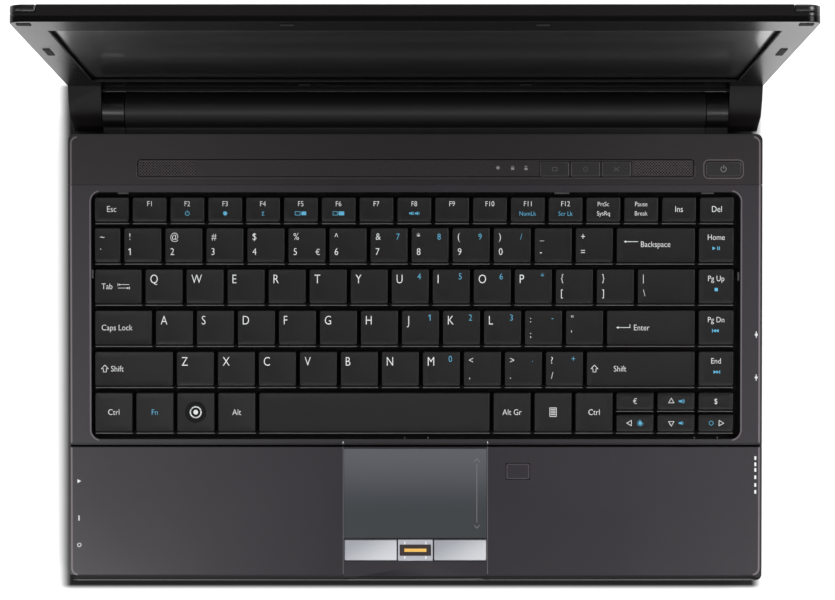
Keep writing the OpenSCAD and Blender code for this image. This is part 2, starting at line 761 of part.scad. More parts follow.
// ---------- inner parts ----------
module motherboard() {
  color([0.1, 0.35, 0.2]) in_deck() {
    box([-98, half_w - 3.5], [-126, -44], [board_z0, board_z1]);
    box([half_w - 42, half_w - 3.5], [-172, -126 + eps], [board_z0, board_z1]);
    box([-half_w + 3.5, -98 + eps], [-199, -105], [board_z0, board_z1]);
    box([half_w - 20, half_w - 3.5], [-44 - eps, -28], [board_z0, board_z1]);
  }
}
module processor_heat_sink() {
  color([0.7, 0.45, 0.3]) in_deck() box([-62, -22], [-84, -46], [board_z0 - 2, board_z0]);
}
module heat_pipe() {
  color([0.75, 0.45, 0.25]) in_deck() box([-half_w + 5, -26], [-51.5, -46], [board_z0 - 4.6, board_z0 - 2]);
}
module exhaust_fins() {
  color([0.7, 0.7, 0.7]) in_deck() {
    for (i = [-11:11])
      box(fins_x, [fan_y + i * 2 - 0.2, fan_y + i * 2 + 0.2], [fan_z0, fan_z1]);
    box(fins_x, [fan_y - 23, -51.6], [fan_z1 - 0.5, fan_z1]);
  }
}
module fan_housing() {
  color([0.12, 0.12, 0.12]) in_deck() {
    difference() {
      box([fan_x - fan_half, fan_x + fan_half], [fan_y - fan_half, fan_y + fan_half],
          [fan_z0, fan_z1]);
      translate([fan_x, fan_y, fan_z0 + 0.8]) cylinder(r = rotor_r + 1.5, h = fan_z1 - fan_z0 - 1.6);
      box([fan_x - fan_half - over, fan_x], [fan_y - 17, fan_y + 17], [fan_z0 + 0.8, fan_z1 - 0.8]);
      translate([fan_x, fan_y, fan_z0 - over]) cylinder(r = 14, h = 3);
    }
    translate([fan_x, fan_y, fan_z0 + 2]) cylinder(r = 1.5, h = fan_z1 - fan_z0 - 2.4);
  }
}
blades = 9;
module fan_rotor() {
  z0 = fan_z0 + 1.4;
  h = fan_z1 - fan_z0 - 2.8;
  color([0.2, 0.2, 0.2]) in_deck() translate([fan_x, fan_y, z0]) difference() {
    union() {
      cylinder(r = 8.5, h = h);
      for (i = [1:blades]) rotate(i * 360 / blades)
        translate([0, -6, 0]) box([4, rotor_r - 1.5], [-0.4, 0.4], [0, h]);
    }
    translate([0, 0, -over]) cylinder(r = 1.55, h = h + 2 * over);
  }
}
module hard_drive() {
  color([0.65, 0.65, 0.68]) in_deck()
    box([drive_x, drive_x + 78.5], [drive_y, drive_y + 54], [drive_z, drive_z + 8]);
}
module memory_module() {
  color([0.1, 0.4, 0.25]) in_deck() box([-60, 7.6], [-123, -93], [board_z0 - 4, board_z0 - 0.1]);
}
module wireless_card() {
  color([0.1, 0.35, 0.45]) in_deck() box([44, 74], [-112, -61], [board_z0 - 3, board_z0 - 0.1]);
}
module speaker(x) {
  color([0.15, 0.15, 0.15]) in_deck()
    box([x, x + grille_w], [-cover_d + wall + 0.2, -6], [-seam_z + 0.1, -wall - 0.4]);
}
module left_speaker() { speaker(grille_x()[0]); }
module right_speaker() { speaker(grille_x()[1]); }

// ---------- ports ----------
module usb_shell(y) {
  difference() {
    box([0, usb_d], [y - usb_w / 2, y + usb_w / 2], [port_top - usb_h, port_top]);
    box([-over, usb_d - 1.5], [y - usb_w / 2 + 0.35, y + usb_w / 2 - 0.35],
        [port_top - usb_h + 0.35, port_top - 0.35]);
  }
  box([1, usb_d - 1], [y - 5.6, y + 5.6], [port_top - 2.3, port_top - 0.3]);
}
// Places a part that is drawn from the left wall inwards on the left or the right wall
module at_wall(s) {
  if (s < 0) translate([-half_w + port_sink, 0, 0]) children();
  else translate([half_w - port_sink, 0, 0]) mirror([1, 0, 0]) children();
}
module usb_ports() {
  color([0.7, 0.7, 0.72]) in_deck() {
    at_wall(-1) usb_shell(left_usb_y);
    for (y = right_usb) at_wall(1) usb_shell(y);
  }
}
module audio_jack(y) {
  difference() {
    union() {
      box([wall + 0.4, jack_d], [y - jack_w / 2, y + jack_w / 2],
          [jack_z - jack_h / 2, jack_z + jack_h / 2]);
      translate([0, y, jack_z]) rotate([0, 90, 0]) cylinder(r = jack_r + 1.1, h = wall + 1);
    }
    translate([-over, y, jack_z]) rotate([0, 90, 0]) cylinder(r = jack_r, h = jack_d - 1 + over);
  }
}
module audio_jacks() {
  color([0.15, 0.15, 0.15]) in_deck() for (y = [mic_y, headphone_y]) at_wall(-1) audio_jack(y);
}
module card_reader() {
  color([0.7, 0.7, 0.72]) in_deck() at_wall(1) difference() {
    box([0, 30], [card_y0, card_y1], [port_top - card_h, port_top]);
    box([-over, 27], [card_y0 + 0.4, card_y1 - 0.4], [port_top - card_h + 0.6, port_top - 0.8]);
  }
}
module network_port() {
  color([0.7, 0.7, 0.72]) in_deck() at_wall(1) difference() {
    box([0, 15], [net_y - net_w / 2, net_y + net_w / 2], [port_top - net_h, port_top]);
    box([-over, 13.5], [net_y - 6, net_y + 6], [port_top - net_h + 0.4, port_top - 0.7]);
  }
}
module display_connector() {
  color([0.15, 0.25, 0.55]) in_deck() at_wall(-1) difference() {
    box([0, 11], [display_y - display_w / 2, display_y + display_w / 2],
        [port_top - display_h, port_top]);
    box([-over, 2], [display_y - 7.5, display_y + 7.5], [port_top - display_h + 1, port_top - 1]);
  }
}
module power_jack() {
  z = port_top - power_in_h / 2;
  color([0.1, 0.1, 0.1]) in_deck() at_wall(1) {
    difference() {
      box([0, 12], [power_in_y - power_in_w / 2, power_in_y + power_in_w / 2],
          [port_top - power_in_h, port_top]);
      translate([-over, power_in_y, z]) rotate([0, 90, 0]) cylinder(r = 2.8, h = 10 + over);
    }
    translate([1, power_in_y, z]) rotate([0, 90, 0]) cylinder(r = 0.8, h = 9.5);
  }
}

// ---------- underside ----------
foot_places = [[-half_w + 14, -14], [half_w - 14, -14],
               [-half_w + 26, -base_d + 14], [half_w - 26, -base_d + 14]];
module rubber_feet() {
  color([0.06, 0.06, 0.06]) for (p = foot_places) on_floor(p)
    translate([0, 0, -foot_h]) cylinder(r = 5.5, h = foot_h);
}
module service_cover() {
  gap = 0.3;
  color([0.12, 0.12, 0.13]) difference() {
    on_floor([0, 0]) translate([0, hatch_low()[1], 0])
      box([hatch_x[0] + gap, hatch_x[1] - gap], [gap, hatch_size()[1] - gap], [0, hatch_t]);
    for (p = hatch_screws) on_floor(p) translate([0, 0, -over])
      cylinder(r = screw_r + fit, h = 3);
  }
}
module case_screws() {
  color([0.5, 0.5, 0.52]) for (p = screw_places) on_floor(p) {
    cylinder(r = screw_head_r, h = screw_head_h);
    cylinder(r = screw_r, h = 6);
  }
}
module slider(s) {
  color([0.1, 0.1, 0.1]) on_floor([s * latch_x, latch_y]) {
    box([-latch_w / 2, latch_w / 2], [-latch_d / 2, latch_d / 2], [0, wall + 0.2]);
    box([-latch_w / 2 - 7, latch_w / 2 + 7], [-latch_d / 2 - 2, latch_d / 2 + 2],
        [wall + 0.1, wall + 1.3]);
  }
}
module battery_latch() { slider(-1); }
module battery_lock() { slider(1); }

lower_case();
upper_case();
middle_cover();
control_strip();
keyboard_plate();
rubber_domes();
scissor_links();
touchpad_panel();
fingerprint_reader();
motherboard();
processor_heat_sink();
heat_pipe();
exhaust_fins();
fan_housing();
fan_rotor();
hard_drive();
memory_module();
wireless_card();
left_speaker();
right_speaker();
left_hinge_cap();
right_hinge_cap();
left_hinge_bracket();
right_hinge_bracket();
battery_pack();
rubber_feet();
service_cover();
case_screws();
usb_ports();
audio_jacks();
card_reader();
network_port();
display_connector();
power_jack();
battery_latch();
battery_lock();
power_button();
launch_button_1();
launch_button_2();
launch_button_3();
left_click_button();
right_click_button();
touchpad_lock_button();
function_keys();
number_keys();
top_letter_keys();
home_letter_keys();
lower_letter_keys();
bottom_row_keys();
space_bar();
arrow_keys();
navigation_keys();
lid_cover();
lid_bezel();
lcd_panel();
lid_bumpers();
left_lid_corner();
right_lid_corner();
left_hinge_arm();
right_hinge_arm();
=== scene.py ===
# %% [markdown]
# # A laptop computer with its lid open
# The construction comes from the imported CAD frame: every shell, key and hinge is there at its real
# size. This script gives each piece its finish, and models what a construction drawing leaves out:
# softened edges, dished keycaps, printed legends, grille holes and small marks. Everything is in
# metres in the frame's own axes: X to the user's right, Y to the hinges, Z up.

# %% Load the frame and keep its box
import json
import math

import bmesh
import bpy
from mathutils import Matrix, Vector

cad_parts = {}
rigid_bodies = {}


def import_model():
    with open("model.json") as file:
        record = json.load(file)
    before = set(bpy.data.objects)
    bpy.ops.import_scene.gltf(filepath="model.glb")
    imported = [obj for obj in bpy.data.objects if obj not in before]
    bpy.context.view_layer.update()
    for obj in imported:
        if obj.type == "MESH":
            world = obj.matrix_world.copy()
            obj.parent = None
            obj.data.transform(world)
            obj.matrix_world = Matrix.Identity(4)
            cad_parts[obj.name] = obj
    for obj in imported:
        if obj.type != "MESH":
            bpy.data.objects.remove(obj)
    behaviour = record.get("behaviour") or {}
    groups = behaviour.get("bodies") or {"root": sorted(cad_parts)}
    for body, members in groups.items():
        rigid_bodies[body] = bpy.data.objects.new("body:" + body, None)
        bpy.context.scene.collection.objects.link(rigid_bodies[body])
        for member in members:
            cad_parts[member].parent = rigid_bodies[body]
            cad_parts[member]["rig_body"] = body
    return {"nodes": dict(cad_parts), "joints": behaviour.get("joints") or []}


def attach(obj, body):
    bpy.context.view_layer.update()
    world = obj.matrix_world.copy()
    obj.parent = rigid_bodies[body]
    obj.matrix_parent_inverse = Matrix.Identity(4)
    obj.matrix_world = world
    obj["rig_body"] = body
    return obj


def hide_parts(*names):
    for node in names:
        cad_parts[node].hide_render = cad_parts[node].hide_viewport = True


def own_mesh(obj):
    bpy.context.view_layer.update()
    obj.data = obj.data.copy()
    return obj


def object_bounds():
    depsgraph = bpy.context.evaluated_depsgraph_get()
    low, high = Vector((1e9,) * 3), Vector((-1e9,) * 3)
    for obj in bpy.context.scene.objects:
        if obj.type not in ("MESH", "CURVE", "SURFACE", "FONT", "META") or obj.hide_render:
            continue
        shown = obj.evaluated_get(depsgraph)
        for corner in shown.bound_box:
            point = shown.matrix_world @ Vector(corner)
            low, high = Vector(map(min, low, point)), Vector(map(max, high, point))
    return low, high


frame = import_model()
cad_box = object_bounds()
nodes = frame["nodes"]
joints = {joint["name"]: joint for joint in frame["joints"]}

# %% [markdown]
# ## Two drawing boards: the deck and the lid
# The base slopes a little towards the user and the lid leans back, so a mark drawn in world axes
# would have to be turned each time. It is simpler to draw on two boards that lie on the real faces.
# The deck's slope is read from the direction in which the keys travel, and the lid's lean from how
# far its hinge still turns until it is shut. Both boards are in millimetres.

# %% The deck board and the lid board
MM = 0.001
HINGE_BACK = 11.4
HINGE_DROP = 9.4
press = joints["space_bar_press"]["axis"]
slope = math.atan2(press[1], -press[2])
hinge = Vector(joints["lid_hinge"]["pos_m"])
to_metres = Matrix.Scale(MM, 4)
tilt = Matrix.Rotation(slope, 4, "X")
deck = Matrix.Translation(hinge) @ tilt @ to_metres @ Matrix.Translation((0, -HINGE_BACK, HINGE_DROP))
lean = math.radians(-joints["lid_hinge"]["range_deg"][0] - 90) - slope
lid = Matrix.Translation(hinge) @ Matrix.Rotation(-lean, 4, "X") @ to_metres
to_deck = deck.inverted()
print("slope", round(math.degrees(slope), 2), "lean", round(math.degrees(lean), 2))

# %% [markdown]
# ## Shader maths as plain expressions
# A material is a graph of nodes. Wiring it by hand hides the idea, so one small class wraps an output
# and turns Python's operators into Math nodes. Most operators differ only in the node's operation, so
# one loop adds them. `Finish` starts a material and adds any other node: its settings are set first,
# and then its inputs get numbers, colours or wires.

# %% Wires and finishes
class Wire:
    """One output of a shader node. Operators on it add Math nodes."""

    def __init__(self, finish, socket):
        self.finish, self.socket = finish, socket

    def maths(self, operation, *values):
        return self.finish.node("Math", {"operation": operation}, *values)

    def __rsub__(self, other):
        return self.maths("SUBTRACT", other, self)

    def __abs__(self):
        return self.maths("ABSOLUTE", self)

    def root(self):
        return self.maths("SQRT", self)


OPERATIONS = {
    "__add__": "ADD", "__radd__": "ADD", "__sub__": "SUBTRACT", "__mul__": "MULTIPLY",
    "__rmul__": "MULTIPLY", "__truediv__": "DIVIDE", "__gt__": "GREATER_THAN", "__lt__": "LESS_THAN",
    "least": "MINIMUM", "most": "MAXIMUM",
}
for method, operation in OPERATIONS.items():
    setattr(Wire, method, lambda self, other, name=operation: self.maths(name, self, other))


class Finish:
    """A material with a Principled shader, and one method that adds any node."""

    def __init__(self, name, **constants):
        self.material = bpy.data.materials.new(name)
        self.material.use_nodes = True
        self.tree = self.material.node_tree
        self.shader = self.tree.nodes["Principled BSDF"]
        for socket, value in constants.items():
            self.shader.inputs[socket.replace("_", " ")].default_value = value
        where = self.tree.nodes.new("ShaderNodeTexCoord")
        self.place = Wire(self, where.outputs["Object"])

    def feed(self, socket, value):
        if isinstance(value, Wire):
            self.tree.links.new(value.socket, socket)
        else:
            socket.default_value = value

    def node(self, kind, settings, *values, output=0, **named):
        made = self.tree.nodes.new("ShaderNode" + kind)
        for setting, value in settings.items():
            setattr(made, setting, value)
        for socket, value in zip(made.inputs, values):
            self.feed(socket, value)
        for name, value in named.items():
            self.feed(made.inputs[name.replace("_", " ")], value)
        return Wire(self, made.outputs[output])

    def along(self, axis):
        """How far along X, Y or Z each point lies, in metres."""
        return self.node("SeparateXYZ", {}, self.place, output="XYZ".index(axis))

    def noise(self, size, detail=2.0, place=None):
        """Soft random spots of about this size in metres, from 0 to 1."""
        return self.node("TexNoise", {}, Vector=place or self.place, Scale=1 / size, Detail=detail)

    def fade(self, value, low, high):
        """0 below low, 1 above high, and a smooth rise between."""
        return self.node("MapRange", {"interpolation_type": "SMOOTHSTEP"}, value, low, high)

    def blend(self, share, first, second):
        """A colour between two colours."""
        made = self.tree.nodes.new("ShaderNodeMix")
        made.data_type = "RGBA"
        for socket, value in zip((made.inputs[0], made.inputs[6], made.inputs[7]), (share, first, second)):
            self.feed(socket, value)
        return Wire(self, made.outputs[2])

    def paint(self, socket, value):
        self.feed(self.shader.inputs[socket], value)

    def bump(self, height, depth, strength=1.0):
        """Raises the surface by height, which runs from 0 to 1, times depth in metres."""
        self.paint("Normal", self.node("Bump", {}, Height=height, Distance=depth, Strength=strength))


def colour(*screen):
    """A screen colour, red, green and blue from 0 to 255, as the linear colour that shaders use."""
    return (*[((c / 255 + 0.055) / 1.055) ** 2.4 if c > 10 else c / 3294.6 for c in screen], 1.0)


def times(tone, factor):
    """The same colour, darker or lighter."""
    return (*[channel * factor for channel in tone[:3]], 1.0)


print("operators on wires", len(OPERATIONS) + 2)


# %% [markdown]
# ## Highlights and shade painted on the deck
# The deck's mouldings are rounded by less than a millimetre at their rims, and each rim catches the light
# as one pale line. A bevel that thin would need a very fine mesh. It is cheaper to measure, in the shader,
# how far a point lies from a rounded box, and to paint a narrow highlight at the box's edge. The same
# distance paints shade on the outer lip and in the groove in front of the keyboard.

# %% Rims on the deck
# Left, right, front, back and corner radius of each rounded box, on the deck board
DECK_BOX = (-160.2, 160.2, -205.3, -0.9, 3.5)
WELL_BOX = (-150.4, 150.8, -141.7, -26.9, 4.4)
POWER_BOX = (134.2, 151.6, -20.1, -12.5, 1.9)
STRIP_BOX = (-128.7, 129.1, -19.9, -11.9, 1.4)
GROOVE = (-143.8, -145.4)
DECK_RIM_BEYOND, WELL_RIM_BEYOND, STRIP_RIM_BEFORE = 157, 147, -15


def outside(x, y, left, right, front, back, radius):
    """How far a point of the deck lies outside a rounded box, in millimetres. Inside it is negative."""
    over_x = abs(x - (left + right) / 2) - ((right - left) / 2 - radius)
    over_y = abs(y - (front + back) / 2) - ((back - front) / 2 - radius)
    beyond_x, beyond_y = over_x.most(0.0), over_y.most(0.0)
    corner = (beyond_x * beyond_x + beyond_y * beyond_y).root()
    return corner + over_x.most(over_y).least(0.0) - radius


def thin_line(distance, at, width):
    """1 where the distance is within half this width of at."""
    return distance.finish.fade(abs(distance - at), width * 0.75, width * 0.25)


def deck_highlights_and_shade(made, paint, painted_light):
    """Paints highlights on the rims in a paint of the deck, and paints shade in its groove and on its outer
    lip.
    """
    start = deck @ Vector()
    x = made.along("X") / MM
    y = (made.along("Y") - start.y) / (MM * math.cos(slope))
    edge_of_deck = outside(x, y, *DECK_BOX)
    # Painted highlights: narrow pale bands along the rims of the deck, the well, the power button and the
    # strip.
    rim_highlights = thin_line(edge_of_deck, -0.5, 0.7) * (abs(x) > DECK_RIM_BEYOND)
    rim_highlights = rim_highlights + thin_line(outside(x, y, *WELL_BOX), 0.5, 0.6) * (abs(x) > WELL_RIM_BEYOND) * 0.7
    rim_highlights = rim_highlights + thin_line(outside(x, y, *POWER_BOX), 0.45, 0.5) * 0.6
    rim_highlights = rim_highlights + thin_line(outside(x, y, *STRIP_BOX), 0.55, 0.5) * (y < STRIP_RIM_BEFORE) * 0.2
    back, front = GROOVE
    # Painted shade: dark paint in the groove in front of the keyboard, and beyond the deck's rounded box on
    # its rolled front lip and its other outer edges.
    dark = made.fade(y, front - 0.2, front + 0.2) * made.fade(y, back + 0.9, back)
    dark = dark + made.fade(edge_of_deck, 0.0, 0.4)
    return made.blend(dark.least(1.0), made.blend(rim_highlights, paint, painted_light), colour(9, 8, 9))


# %% [markdown]
# ## Moulded and painted plastic
# Most of the machine is moulded plastic, painted or left with the fine texture of the tool. Real
# mouldings are never one flat colour: the paint clouds a little, the gloss varies and a fine grain
# breaks up reflections. One function makes them all, so that they look like a family.

# %% Plastic finishes
def plastic(name, tone, roughness, cloud=0.12, cloud_size=0.05, grain=0.004, grain_size=0.0004,
            shine=0.5, on_deck=False, edge=None):
    """Edge is the colour of a painted highlight on the softened edges, where a bevel catches the light.
    On the deck, the wide mouldings also get painted highlights on their rims and painted shade on their
    outer lip."""
    made = Finish(name, Specular_IOR_Level=shine)
    clouds = made.noise(cloud_size, 3)
    fine = made.noise(grain_size, 2)
    paint = made.blend(clouds * 0.7 + fine * 0.3, times(tone, 1 - cloud), times(tone, 1 + cloud))
    # Painted highlight: the faces that a bevel made get the edge colour.
    if edge:
        paint = made.blend(made.node("Attribute", {"attribute_name": "edge"}, output=2), paint, edge)
    if on_deck:
        paint = deck_highlights_and_shade(made, paint, edge)
    made.paint("Base Color", paint)
    made.paint("Roughness", roughness + (clouds - 0.5) * 0.06 + (fine - 0.5) * 0.06)
    made.bump(fine, grain * MM)
    return made.material


# The edge colours of these finishes are painted highlights on their bevels.
palm_paint = plastic("palm_paint", colour(35, 31, 37), 0.24, 0.06, grain=0.006, shine=0.4,
                     on_deck=True, edge=colour(112, 104, 110))
cover_paint = plastic("cover_paint", colour(24, 19, 20), 0.24, 0.08, grain=0.006, shine=0.4,
                      on_deck=True, edge=colour(100, 92, 96))
strip_plastic = plastic("strip_plastic", colour(27, 23, 24), 0.26, 0.06, shine=0.4, edge=colour(84, 78, 81))
tub_plastic = plastic("tub_plastic", colour(38, 36, 38), 0.5, 0.1, grain=0.02, grain_size=0.0007)
barrel_plastic = plastic("barrel_plastic", colour(16, 15, 16), 0.45, 0.1, shine=0.22,
                         grain=0.035, grain_size=0.0006)
cap_plastic = plastic("cap_plastic", colour(9, 8, 10), 0.3, 0.06, shine=0.3)
chin_plastic = plastic("lid_shell_paint", colour(19, 17, 18), 0.24, 0.06, shine=0.3)
bezel_plastic = plastic("bezel_plastic", colour(6, 5, 5), 0.24, 0.06, shine=0.13)
corner_plastic = plastic("corner_plastic", colour(14, 12, 14), 0.28, 0.06)
lock_plastic = plastic("lock_plastic", colour(33, 29, 36), 0.24, 0.06, shine=0.4, edge=colour(92, 86, 92))
button_plastic = plastic("button_plastic", colour(25, 23, 25), 0.26, 0.06, shine=0.4,
                         edge=colour(70, 67, 70))
rubber = plastic("foot_rubber", colour(24, 24, 25), 0.75, 0.15, grain=0.03, shine=0.25)
gasket_black = plastic("gasket_black", colour(14, 13, 14), 0.6, 0.1, shine=0.3)
badge_black = plastic("badge_black", colour(4, 4, 5), 0.3, 0.05, shine=0.12)
reader_dark = plastic("reader_dark", colour(34, 16, 18), 0.3, 0.05, shine=0.4)
print("plastics", len(bpy.data.materials))

# %% [markdown]
# ## The keycaps' finish
# Moulded keys are matt, with a sparkle: tiny grains in the plastic catch the light. The grains are
# a voronoi pattern, where each cell is a grain, and only the few brightest cells show.

# %% Keycap plastic
def keycap_plastic(name, tone, sparkle):
    made = Finish(name, Specular_IOR_Level=0.2)
    grains = made.node("TexVoronoi", {}, Vector=made.place, Scale=1 / (0.38 * MM), output=0)
    speck = made.fade(grains, 0.30, 0.12)
    rubbed = made.noise(0.012, 2)
    shown = speck * made.fade(rubbed, 0.25, 0.75)
    made.paint("Base Color", made.blend(shown, tone, times(tone, 1 + sparkle)))
    made.paint("Roughness", 0.34 - speck * 0.08 + rubbed * 0.06)
    made.bump(speck, 0.02 * MM)
    return made.material


letter_plastic = keycap_plastic("keycap", colour(14, 12, 13), 7)
# Pale grey of the painted highlight along the keys' front skirts.
skirt_highlight_grey = plastic("key_skirt_highlight", colour(84, 80, 82), 0.4, 0.05, grain=0.001)
wide_plastic = keycap_plastic("keycap_smooth", colour(19, 17, 19), 1.0)

# %% [markdown]
# ## Touchpad, click buttons and screen
# The touchpad is a painted sheet that is bluer and lighter than the case. Its colour is lighter at the
# back and darker towards the user, a painted reflection. The click buttons are brushed metal: noise
# stretched along X gives the brushing, and a painted sheen darkens each one's left back corner. The
# screen is a dark sheet with a smooth face, so what it shows is almost all reflection.

# %% Touchpad paint, brushed metal and screen
BUTTON_LEFT, BUTTON_STEP, BUTTON_BACK, BUTTON_DEPTH = -33.0, 41.6, -188.5, 12
# Between these lines on the deck board the touchpad's painted reflection rises from dark in front to light
# at the back.
PAD_DARK_FROM, PAD_PALE_FROM = -177, -146
STROKE, STRETCH, STROKE_SHADE = 0.0004, 30, 0.86


def across_deck(y):
    """The world's Y, in metres, of a line across the deck board."""
    return (deck @ Vector((0, y, 0))).y


def brush_strokes(made):
    return made.noise(STROKE, 3, made.node("Mapping", {}, made.place, Scale=(1 / STRETCH, 1, 1)))


def brushed(name, tone, roughness, metallic=1.0):
    made = Finish(name, Metallic=metallic)
    strokes = brush_strokes(made)
    made.paint("Base Color", made.blend(strokes, times(tone, STROKE_SHADE), tone))
    made.paint("Roughness", roughness + (strokes - 0.5) * 0.14)
    made.bump(strokes, 0.004 * MM)
    return made.material


def touchpad_paint():
    made = Finish("touchpad_paint", Specular_IOR_Level=0.35)
    # Painted reflection: lighter at the back of the touchpad and darker towards the user.
    painted_light = made.fade(made.along("Y"), across_deck(PAD_DARK_FROM), across_deck(PAD_PALE_FROM))
    fine = made.noise(0.0005, 2)
    made.paint("Base Color", made.blend(painted_light, colour(30, 37, 43), colour(77, 79, 86)))
    made.paint("Roughness", 0.4 + (fine - 0.5) * 0.1)
    made.bump(fine, 0.005 * MM)
    return made.material


def click_button_metal():
    """Satin metal with a painted sheen: darker at the left back corner of each of the two buttons, lighter
    towards its right front.
    """
    made = Finish("click_metal", Metallic=0.3)
    start = made.along("X") - BUTTON_LEFT * MM
    across = made.node("Math", {"operation": "FRACT"}, start / (BUTTON_STEP * MM))
    ahead = (across_deck(BUTTON_BACK) - made.along("Y")) / (BUTTON_DEPTH * MM)
    # Painted sheen across each button, from its left back corner to its right front.
    lit = made.fade(across * 0.9 + ahead * 0.45, 0.05, 0.85)
    strokes = brush_strokes(made)
    painted_sheen = made.blend(lit, colour(142, 145, 152), colour(194, 196, 200))
    made.paint("Base Color", made.blend(strokes * 0.12, painted_sheen, colour(120, 122, 126)))
    made.paint("Roughness", 0.36 + (strokes - 0.5) * 0.14)
    made.bump(strokes, 0.004 * MM)
    return made.material


def screen_glass():
    made = Finish("screen_glass", Specular_IOR_Level=0.3, Coat_Weight=1.0, Coat_Roughness=0.33,
                  Coat_IOR=1.65)
    haze = made.noise(0.09, 2)
    made.paint("Base Color", made.blend(haze, colour(7, 6, 6), colour(12, 10, 11)))
    made.paint("Roughness", 0.012 + haze * 0.012)
    return made.material


touchpad_blue = touchpad_paint()
click_metal = click_button_metal()
trim_metal = brushed("trim_metal", colour(168, 170, 178), 0.36, metallic=0.3)
steel = brushed("steel", colour(150, 149, 147), 0.34)
dark_steel = brushed("dark_steel", colour(70, 70, 72), 0.4)
copper = brushed("copper", colour(190, 112, 74), 0.36)
screen_dark = screen_glass()

# %% [markdown]
# ## Inner parts, ports and inks
# The circuit boards, domes and drive are hidden, but each still gets the look of its stuff, in case
# someone takes the case apart. The inks of the legends, signs and seams are plain coats too, so the
# same function makes them.

# %% Inner finishes and print inks
board_green = plastic("circuit_board", colour(32, 74, 52), 0.45, 0.2, 0.004, grain=0.03, grain_size=0.0012)
dome_rubber = plastic("dome_rubber", colour(150, 150, 146), 0.6, 0.1, grain=0.01)
link_white = plastic("link_plastic", colour(196, 196, 190), 0.5, 0.06)
jack_black = plastic("jack_plastic", colour(20, 20, 21), 0.5, 0.1)
blue_plastic = plastic("connector_blue", colour(38, 62, 130), 0.45, 0.08)
socket_grey = plastic("connector_grey", colour(120, 120, 122), 0.45, 0.08)
fan_black = plastic("fan_plastic", colour(26, 26, 28), 0.4, 0.1)
well_black = plastic("keyboard_plate", colour(3, 3, 3), 0.6, 0.15, shine=0.1)
white_ink = plastic("white_ink", colour(226, 228, 228), 0.5, 0.03, grain=0.001)
grey_ink = plastic("grey_ink", colour(120, 118, 120), 0.5, 0.04, grain=0.001)
dim_ink = plastic("dim_ink", colour(74, 70, 72), 0.5, 0.04, grain=0.001)
seam_black = plastic("seam_black", colour(3, 2, 3), 0.7, 0.05, grain=0.001, shine=0.0)
grille_plastic = plastic("grille_plastic", colour(88, 82, 86), 0.34, 0.06, grain=0.002)
groove_highlight_grey = plastic("groove_highlight_grey", colour(92, 89, 95), 0.4, 0.04, grain=0.001)
tab_grey = plastic("tab_grey", colour(46, 44, 46), 0.4, 0.06)
blue_ink = plastic("blue_ink", colour(84, 172, 208), 0.5, 0.04, grain=0.001)
gold = brushed("sensor_gold", colour(226, 178, 84), 0.4, metallic=0.4)
print("materials", len(bpy.data.materials))

# %% [markdown]
# ## Hidden and plain nodes keep their frame mesh
# These nodes already have the right shape, so only their material slots change.

# %% Finishes for nodes that stay as they are
NODE_FINISH = {
    "keyboard_plate": well_black,
    "motherboard": board_green, "memory_module": board_green, "wireless_card": board_green,
    "processor_heat_sink": copper, "heat_pipe": copper, "exhaust_fins": copper,
    "fan_housing": fan_black, "fan_rotor": fan_black, "hard_drive": steel,
    "left_speaker": jack_black, "right_speaker": jack_black,
    "left_hinge_bracket": dark_steel, "right_hinge_bracket": dark_steel,
    "left_hinge_arm": dark_steel, "right_hinge_arm": dark_steel,
    "case_screws": dark_steel, "usb_ports": steel, "card_reader": jack_black,
    "audio_jacks": jack_black, "network_port": socket_grey, "display_connector": blue_plastic,
    "power_jack": jack_black, "lcd_panel": screen_dark,
}
for name, finish in NODE_FINISH.items():
    mesh = nodes[name].data
    if not mesh.materials:
        mesh.materials.append(finish)
    for material_slot in nodes[name].material_slots:
        material_slot.material = finish
print("nodes with a new finish", len(NODE_FINISH))

# %% [markdown]
# ## From a bmesh to a piece
# Every new piece ends the same way: its mesh is put in place, its faces are smoothed except at real
# corners, it gets its finish, and it is told which body it rides on.

# %% Piece helper
SHARP = math.radians(50)
BARELY = math.radians(4)
MUCH_LARGER = 6


def shade(bm):
    """Smooths curves, and keeps large flat faces flat where a thin bevel meets them."""
    area = {face: face.calc_area() for face in bm.faces}
    for face in bm.faces:
        face.smooth = True
    for edge in bm.edges:
        if len(edge.link_faces) == 2:
            angle = edge.calc_face_angle(0)
            small, large = sorted(area[face] for face in edge.link_faces)
            edge.smooth = angle < SHARP and (angle < BARELY or large < MUCH_LARGER * small)


def body_of(node):
    return nodes[node]["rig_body"]


def add_box(bm, centre, size, turn=0.0):
    """A box of this size about a centre, turned by some degrees about Z."""
    turned = Matrix.Translation(centre) @ Matrix.Rotation(math.radians(turn), 4, "Z")
    bmesh.ops.create_cube(bm, size=1, matrix=turned @ Matrix.Diagonal((*size, 1)))


def bevel(bm, edges, width, segments=2, clamp=False):
    """Rounds edges and returns the new faces."""
    return bmesh.ops.bevel(bm, geom=edges, offset=width, offset_type="OFFSET", segments=segments,
                           profile=0.5, affect="EDGES", clamp_overlap=clamp, material=-1)["faces"]


def stand(name, data):
    """Puts a mesh, a lamp, a camera or a text into the scene."""
    thing = bpy.data.objects.new(name, data)
    bpy.context.scene.collection.objects.link(thing)
    return thing


def add_piece(bm, name, place, body, finish, stands_for=()):
    """Puts a bmesh in its place and makes it a piece that rides on a body."""
    bm.transform(place)
    bmesh.ops.recalc_face_normals(bm, faces=bm.faces)
    shade(bm)
    mesh = bpy.data.meshes.new(name)
    bm.to_mesh(mesh)
    bm.free()
    mesh.materials.append(finish)
    piece = stand(name, mesh)
    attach(piece, body)
    if stands_for:
        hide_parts(*stands_for)
    return piece


# %% [markdown]
# ## Softened edges
# No moulding has a razor edge. A thin bevel catches a line of light, and that line is what makes a
# dark object readable. The frame's mesh is loose triangles, so a copy is merged, flat triangles are
# joined back into whole faces, and only then are the sharp edges bevelled.

